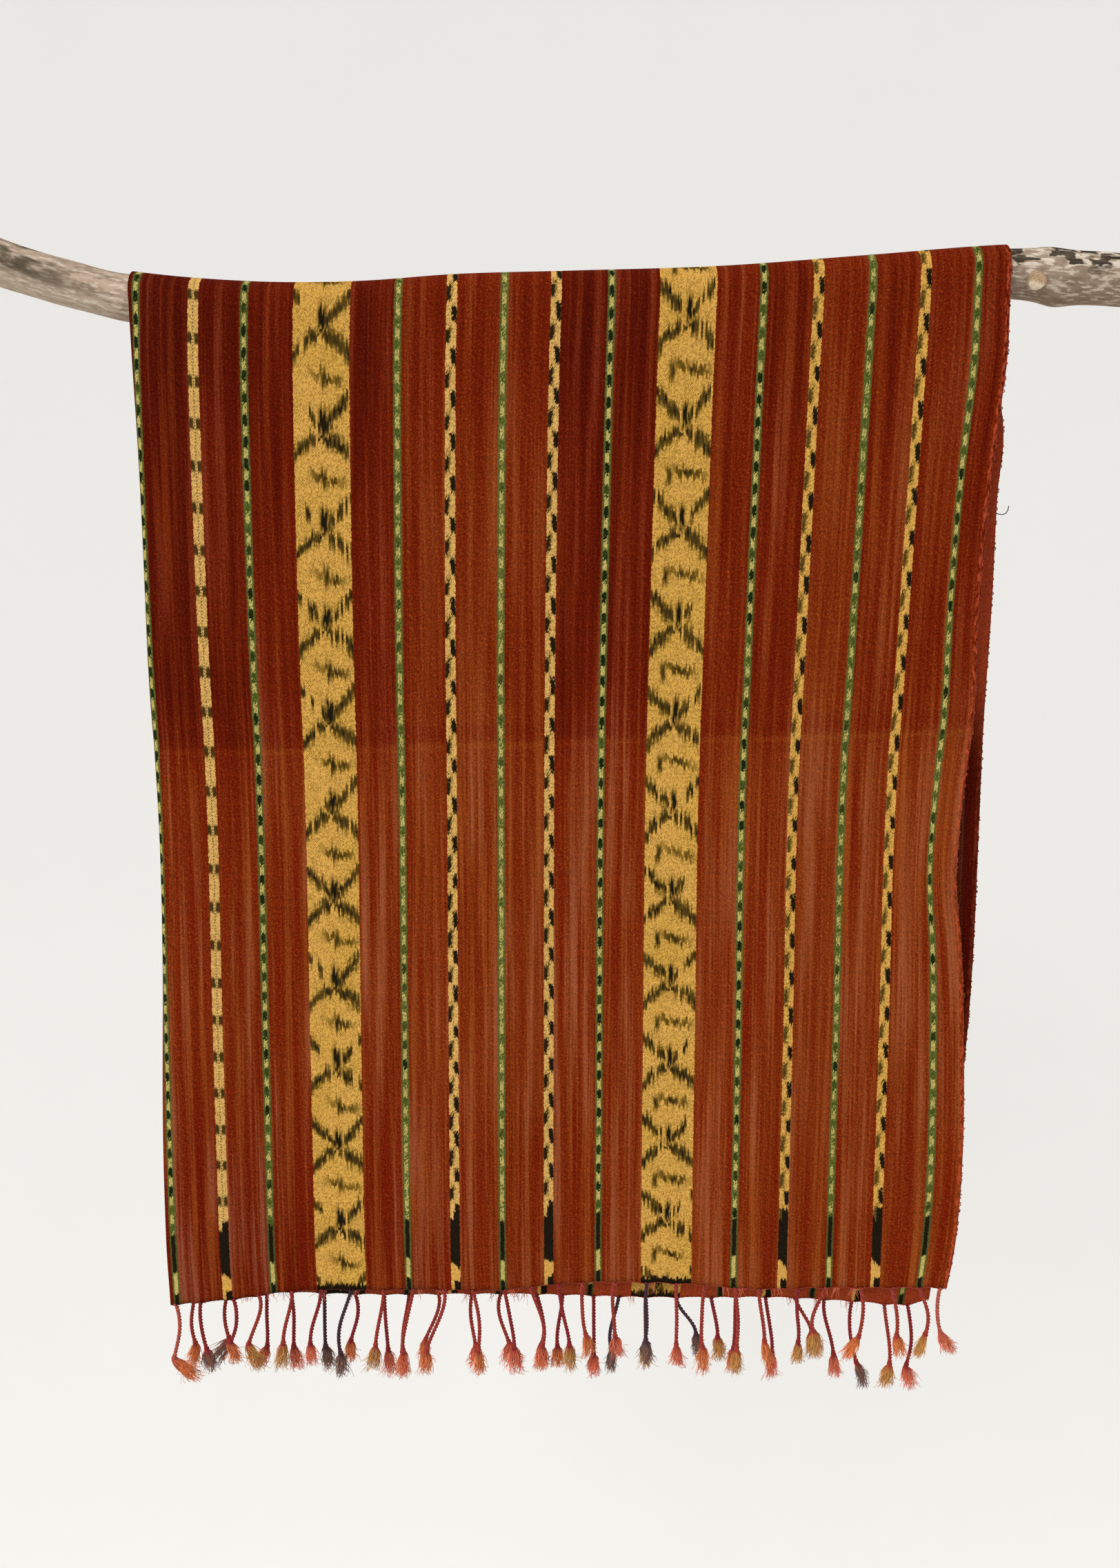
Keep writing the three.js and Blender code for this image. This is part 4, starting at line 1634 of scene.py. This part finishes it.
    def build_selvedges(self) -> bpy.types.Object:
        """Small weft loops along both right edges, standing out sideways, and one long stray thread.

        Returns:
            The loops.
        """
        chance = np.random.default_rng(self.loop_seed)
        count = self.loops
        sides = self.loop_sides
        t = np.linspace(0.0, 1.0, len(self.stray))
        paths = []
        for half in (FRONT, BACK):
            down = (np.arange(count) + 0.5 + chance.uniform(-0.5, 0.5, count)) / count
            root = self.hang(half, np.full(count, self.loop_root), down)
            reach = self.loop_reach[0] + self.loop_reach[1] * chance.random(count) ** 2
            reach = reach[:, None] * np.sin(math.pi * t)
            tall = chance.uniform(*self.loop_rise, count)[:, None] * (t - 0.5) * 2.0
            sway = chance.uniform(-self.loop_sway, self.loop_sway, count)[:, None] * np.sin(math.pi * t)
            paths.append(root[:, None, :] + np.stack([reach, sway, tall], -1))
        start = self.hang(BACK, np.array([self.loop_root]), np.array([self.stray_drop / BACK.drop]))
        paths.append(start[:, None, :] + self.stray)
        path = np.concatenate(paths)
        radii = np.full(path.shape[:2], self.loop_radius)
        faces = tube_faces(len(path), len(t), sides)
        piece = make_piece("selvedge_loops", tubes(path, radii, sides), faces)
        tint = Dye.SELVEDGE.rgb * chance.uniform(0.2, 0.9, (len(path), 1, 1, 1))
        tint[-1] = Dye.BOTTLE.rgb
        lay_colour(piece, "dye", np.broadcast_to(tint, (len(path), len(t), sides, 3)))
        piece.data.materials.append(DyedYarn("selvedge_yarn", 1400.0).material())
        return piece


@dataclass
class Fringe:
    """Twisted cords and tufts along one hem, with the thread that binds the hem.

    A pair of sizes is a range that chance draws from. A taper is how much a radius loses on the way.
    """

    cloth: Cloth
    half: Half
    turns_per_mm: float = 1.0 / 7.6
    ply_radius: float = 1.28
    ply_offset: float = 1.12
    cord_points: int = 64
    cord_sides: int = 7
    wave_height: Pair = (0.4, 1.1)
    wave_turns: Pair = (4.0, 8.0)
    sway: float = 3.0
    tuft_length: float = 28.0
    tuft_shares: Pair = (0.8, 1.08)
    tuft_spread: Pair = (5.0, 9.5)
    hairs: int = 110
    hair_points: int = 9
    hair_sides: int = 3
    hair_radius: float = 0.48
    hair_taper: float = 0.28
    hair_root: float = 2.5
    curl: float = 4.2
    curl_turns: Pair = (3.0, 9.0)
    flick: float = 3.0
    binding_points: int = 420
    binding_radius: float = 0.62
    binding_sides: int = 6
    stitch: float = 5.0
    fray_clusters: int = 14
    frays: int = 9
    fray_points: int = 6
    fray_fall: Pair = (4.0, 15.0)
    fray_radius: float = 0.3
    fray_taper: float = 0.14

    def lines(self, count: int) -> Array:
        """Middle lines of all cords.

        Sideways a cord goes from its root by its swing with a soft start and end, plus a bow that is
        greatest half-way; it drops evenly by its hang.

        Args:
            count: Points on each line.

        Returns:
            Points of shape cords, count, 3.
        """
        cords = self.half.cords
        ends = self.cloth.hang(self.half, np.array([0.0, 1.0]), np.ones(2))[:, 0]
        share = np.clip((self.half.roots - ends[0]) / (ends[1] - ends[0]), 0.004, 0.996)
        root = self.cloth.hang(self.half, share, np.ones(len(cords)), 1.6)
        swing = np.array([[cord.swing, cord.hang, cord.bow] for cord in cords])
        t = np.linspace(0.0, 1.0, count)
        chance = np.random.default_rng(self.half.seed)
        shape = (len(cords), 1)
        wave = chance.uniform(*self.wave_height, shape) * np.sin(
            t * chance.uniform(*self.wave_turns, shape) + chance.uniform(0.0, 6.0, shape)
        )
        sway = chance.uniform(-self.sway, self.sway, shape) * ease(t)
        x = root[:, :1] + swing[:, :1] * ease(t) + 4.0 * swing[:, 2:] * t * (1.0 - t) + wave * t
        return np.stack([x, root[:, 1:2] + sway, root[:, 2:] - swing[:, 1:2] * t], -1)

    def build_cords(self) -> bpy.types.Object:
        """Two plies wound about each middle line, a little apart at the root, with painted light on one
        and painted shade on the other.

        Returns:
            The cords.
        """
        count = self.cord_points
        line = self.lines(count)
        number = len(line)
        hang = np.array([cord.hang for cord in self.half.cords])
        t = np.linspace(0.0, 1.0, count)
        angle = 2.0 * math.pi * self.turns_per_mm * hang[:, None] * t + np.arange(number)[:, None]
        offset = self.ply_offset + 0.9 * np.exp(-t / 0.03)
        turn = np.stack([angle, angle + math.pi], 1)
        reach = np.stack([np.cos(turn), np.sin(turn), np.zeros_like(turn)], -1) * offset[:, None]
        path = (line[:, None] + reach).reshape(number * 2, count, 3)
        swell = 1.0 - 0.25 * np.exp(-t / 0.04) + 0.75 * np.exp(-(((t - 0.965) / 0.045) ** 2))
        radii = np.broadcast_to(self.ply_radius * swell, path.shape[:2])
        sides = self.cord_sides
        faces = tube_faces(number * 2, count, sides)
        piece = make_piece(f"cords_{self.half.name}", tubes(path, radii, sides), faces)
        dye = np.array([cord.dye.rgb for cord in self.half.cords])
        # Painted light and shade: each cord's two plies are a lighter and a darker copy of one dye.
        lit_and_shaded_plies = np.stack([dye * 1.12, dye * 0.82], 1).reshape(-1, 1, 1, 3)
        lay_colour(piece, "dye", np.broadcast_to(lit_and_shaded_plies, (number * 2, count, sides, 3)))
        piece.data.materials.append(DyedYarn(f"cord_yarn_{self.half.name}", 900.0).material())
        return piece

    def build_tufts(self) -> bpy.types.Object:
        """Loose hairs below each cord.

        A hair leaves the cord's end, follows the tuft's lean, spreads from the middle with the root
        of its share of the way, draws in again near its tip and waves a little.

        Returns:
            The tufts.
        """
        chance = np.random.default_rng(self.half.seed + 100)
        cords = self.half.cords
        shape = (len(cords), self.hairs, 1)
        end = self.lines(8)[:, -1]
        t = np.linspace(0.0, 1.0, self.hair_points)
        lean = np.array([cord.lean for cord in cords])[:, None, None]
        tail = self.tuft_length * chance.uniform(*self.tuft_shares, (len(cords), 1, 1))
        length = tail * (1.0 - 0.62 * chance.random(shape) ** 1.6)
        around = chance.uniform(0.0, 2.0 * math.pi, shape)
        spread = chance.uniform(*self.tuft_spread, (len(cords), 1, 1)) * np.sqrt(chance.random(shape))
        fan = spread * (t**0.6 - 0.25 * t**3) + 1.1
        curl = chance.uniform(0.0, self.curl, shape)
        curl = curl * np.sin(t * chance.uniform(*self.curl_turns, shape) + around) * t
        flick = chance.normal(0.0, self.flick, shape) * t**3
        x = end[:, 0, None, None] + lean * t**1.2 + fan * np.cos(around) + curl + flick
        y = end[:, 1, None, None] + 0.75 * fan * np.sin(around) + 0.7 * curl
        z = end[:, 2, None, None] + self.hair_root - (length + self.hair_root) * t + 0.3 * curl
        path = np.stack(np.broadcast_arrays(x, y, z), -1).reshape(-1, len(t), 3)
        radii = np.broadcast_to(self.hair_radius - self.hair_taper * t, path.shape[:2])
        sides = self.hair_sides
        faces = tube_faces(len(path), len(t), sides)
        piece = make_piece(f"tufts_{self.half.name}", tubes(path, radii, sides), faces)
        root_dye = np.array([cord.dye.rgb for cord in cords])[:, None, None, :]
        tip_dye = np.array([cord.tuft.rgb for cord in cords])[:, None, None, :]
        others = np.array([dye.rgb for dye in (Dye.ORANGE, Dye.SALMON, Dye.ROSE, Dye.GOLD)])
        other = others[chance.integers(0, 4, shape[:2])][:, :, None, :]
        odd = 0.55 * chance.random(shape)[..., None] ** 2
        stray = chance.uniform(0.85, 1.5, shape)[..., None]
        share = np.clip(t / 0.45, 0.0, 1.0)[None, None, :, None]
        tint = (root_dye * (1.0 - share) + (tip_dye * (1.0 - odd) + other * odd) * share) * stray
        lay_colour(piece, "dye", np.repeat(tint.reshape(-1, 1, 3), sides, axis=1))
        piece.data.materials.append(DyedYarn(f"tuft_wool_{self.half.name}", 1600.0).material())
        return piece

    def build_binding(self) -> bpy.types.Object:
        """Thread along the hem, and short frayed ends that hang from it.

        Returns:
            The binding with its frays.
        """
        chance = np.random.default_rng(self.half.seed + 200)
        length = self.binding_points
        share = np.linspace(0.002, 0.998, length)
        line = self.cloth.hang(self.half, share, np.ones(length), 0.2)
        beat = np.sin(share * self.cloth.width * 2.0 * math.pi / self.stitch)
        line = line + np.stack([np.zeros(length), 0.2 * beat, 0.25 * beat], -1)
        radii = self.binding_radius + 0.1 * beat[None]
        thread = tubes(line[None], radii, self.binding_sides, (0.0, 0.0, 1.0))
        clusters = chance.uniform(0.01, 0.99, self.fray_clusters).repeat(self.frays)
        count = len(clusters)
        place = np.clip(clusters + chance.normal(0.0, 0.003, count), 0.001, 0.999)
        root = self.cloth.hang(self.half, place, np.ones(count), 1.0)
        t = np.linspace(0.0, 1.0, self.fray_points)
        fall = chance.uniform(*self.fray_fall, (count, 1)) * t
        side = chance.normal(0.0, 2.5, (count, 1)) * t**1.5
        side = side + chance.uniform(-0.8, 0.8, (count, 1)) * np.sin(6.0 * t)
        out = chance.normal(0.0, 1.2, (count, 1)) * t
        frays = root[:, None, :] + np.stack([side, out, -fall], -1)
        thin = np.broadcast_to(self.fray_radius - self.fray_taper * t, frays.shape[:2])
        ends = tubes(frays, thin, self.hair_sides)
        first = thread.reshape(-1, 3)
        hairs = tube_faces(count, len(t), self.hair_sides)
        hairs = [[corner + len(first) for corner in face] for face in hairs]
        faces = tube_faces(1, length, self.binding_sides) + hairs
        points = np.concatenate([first, ends.reshape(-1, 3)])
        piece = make_piece(f"hem_binding_{self.half.name}", points, faces)
        bright = ease((share - 0.3) / 0.25)[None, :, None, None]
        bound = Dye.MAROON.rgb * (1.0 - bright) + Dye.BRICK.rgb * bright
        bound = np.broadcast_to(bound, thread.shape).reshape(-1, 3)
        frayed = np.broadcast_to(Dye.SALMON.rgb, (len(points) - len(first), 3))
        tint = np.concatenate([bound, frayed])
        lay_colour(piece, "dye", tint)
        piece.data.materials.append(DyedYarn(f"hem_yarn_{self.half.name}", 1200.0).material())
        return piece


@dataclass
class Studio:
    """Pale sweep, soft light and the camera at the picture's angle."""

    floor: float = -4800.0
    wall: float = 3000.0
    bend: float = 500.0
    reach: float = 9000.0
    wall_height: float = 12000.0
    bend_lines: int = 40
    side_lines: int = 13
    focal_pixels: float = 1700.0
    sensor: float = 36.0
    pitch: float = 8.1
    camera_place: tuple[float, float, float] = (-9.0, -1240.0, -318.0)
    sky: tuple[float, float, float] = (0.45, 0.45, 0.45)
    seen_sky: tuple[float, float, float] = (0.88, 0.865, 0.84)
    sun_towards: tuple[float, float, float] = (-0.45, -0.6, 0.66)
    sun_strength: float = 2.36
    sun_angle: float = 50.0

    def build_sweep(self) -> bpy.types.Object:
        """Floor that turns up into a wall: flat, then a quarter circle, then upright.

        Returns:
            The sweep.
        """
        turn = np.linspace(0.0, math.pi / 2.0, self.bend_lines)
        flat = table((-self.reach, 0.0))
        out = self.wall - self.bend + self.bend * np.sin(turn)
        bend = np.stack([out, self.bend - self.bend * np.cos(turn)], -1)
        wall = table((self.wall, self.wall_height))
        profile = np.concatenate([flat, bend, wall])
        side = np.linspace(-self.reach, self.reach, self.side_lines)
        x, y = np.meshgrid(side, profile[:, 0])
        z = np.broadcast_to(self.floor + profile[:, 1:], x.shape)
        piece = make_piece("studio_sweep", np.stack([x, y, z], -1), grid_faces(*x.shape))
        piece.data.materials.append(StudioPaper().material())
        return piece

    def light(self) -> None:
        """Even sky, paler where it is seen directly, and one broad lamp from the upper left."""
        scene = bpy.context.scene
        world = bpy.data.worlds.new("studio_sky")
        scene.world = world
        world.use_nodes = True
        tree = world.node_tree
        tree.nodes.clear()
        output = tree.nodes.new("ShaderNodeOutputWorld")
        blend = tree.nodes.new("ShaderNodeMixShader")
        path = tree.nodes.new("ShaderNodeLightPath")
        tree.links.new(path.outputs["Is Camera Ray"], blend.inputs[0])
        for socket, colour in ((blend.inputs[1], self.sky), (blend.inputs[2], self.seen_sky)):
            backdrop = tree.nodes.new("ShaderNodeBackground")
            backdrop.inputs["Color"].default_value = (*colour, 1.0)
            tree.links.new(backdrop.outputs[0], socket)
        tree.links.new(blend.outputs[0], output.inputs["Surface"])
        lamp = bpy.data.lights.new("broad_lamp", "SUN")
        lamp.energy = self.sun_strength
        lamp.angle = math.radians(self.sun_angle)
        holder = bpy.data.objects.new("broad_lamp", lamp)
        x, y, z = self.sun_towards
        holder.rotation_euler = (math.atan2(math.hypot(x, y), z), 0.0, math.atan2(y, x) + math.pi / 2.0)
        scene.collection.objects.link(holder)
        scene.view_settings.view_transform = "Standard"

    def place_camera(self) -> None:
        """Camera whose lens gives the picture's focal length over the picture's height."""
        lens = bpy.data.cameras.new("picture_camera")
        lens.sensor_fit = "VERTICAL"
        lens.sensor_height = self.sensor
        lens.lens = self.focal_pixels / PHOTO_HEIGHT * self.sensor
        holder = bpy.data.objects.new("picture_camera", lens)
        holder.location = [value * MM for value in self.camera_place]
        holder.rotation_euler = (math.radians(90.0 - self.pitch), 0.0, 0.0)
        bpy.context.scene.collection.objects.link(holder)
        bpy.context.scene.camera = holder


def seat(piece: bpy.types.Object, slot: Slot, *nodes: str) -> bpy.types.Object:
    """Sets a piece on the body in place of some nodes, and reports it.

    Args:
        piece: The piece.
        slot: Not used.
        nodes: CAD nodes that it stands for.

    Returns:
        The piece.
    """
    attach(piece, BODY)
    if nodes:
        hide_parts(*nodes)
    LOG.info("%s: %d faces", piece.name, len(piece.data.polygons))
    return piece


def main() -> None:
    """Builds the studio, the branch, the cloth and both fringes."""
    logging.basicConfig(level=logging.INFO, format="%(name)s %(message)s")
    LOG.info("%d CAD nodes", len(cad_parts))
    studio = Studio()
    studio.place_camera()
    studio.light()
    studio.build_sweep()
    branch = Branch()
    wood = seat(branch.build(), Slot.WOOD, "branch")
    seat(branch.build_twig(), Slot.WOOD)
    cloth = Cloth(branch)
    sheet = seat(cloth.build(), Slot.WEAVE, "cloth")
    trim = [seat(cloth.build_selvedges(), Slot.WEAVE)]
    for half in (FRONT, BACK):
        fringe = Fringe(cloth, half)
        trim.append(seat(fringe.build_cords(), Slot.CORDS, f"fringe_{half.name}"))
        trim.append(seat(fringe.build_tufts(), Slot.CORDS))
        trim.append(seat(fringe.build_binding(), Slot.CORDS))
    flat = (cloth.width * MM, cloth.length * MM)


if __name__ == "__main__":
    main()
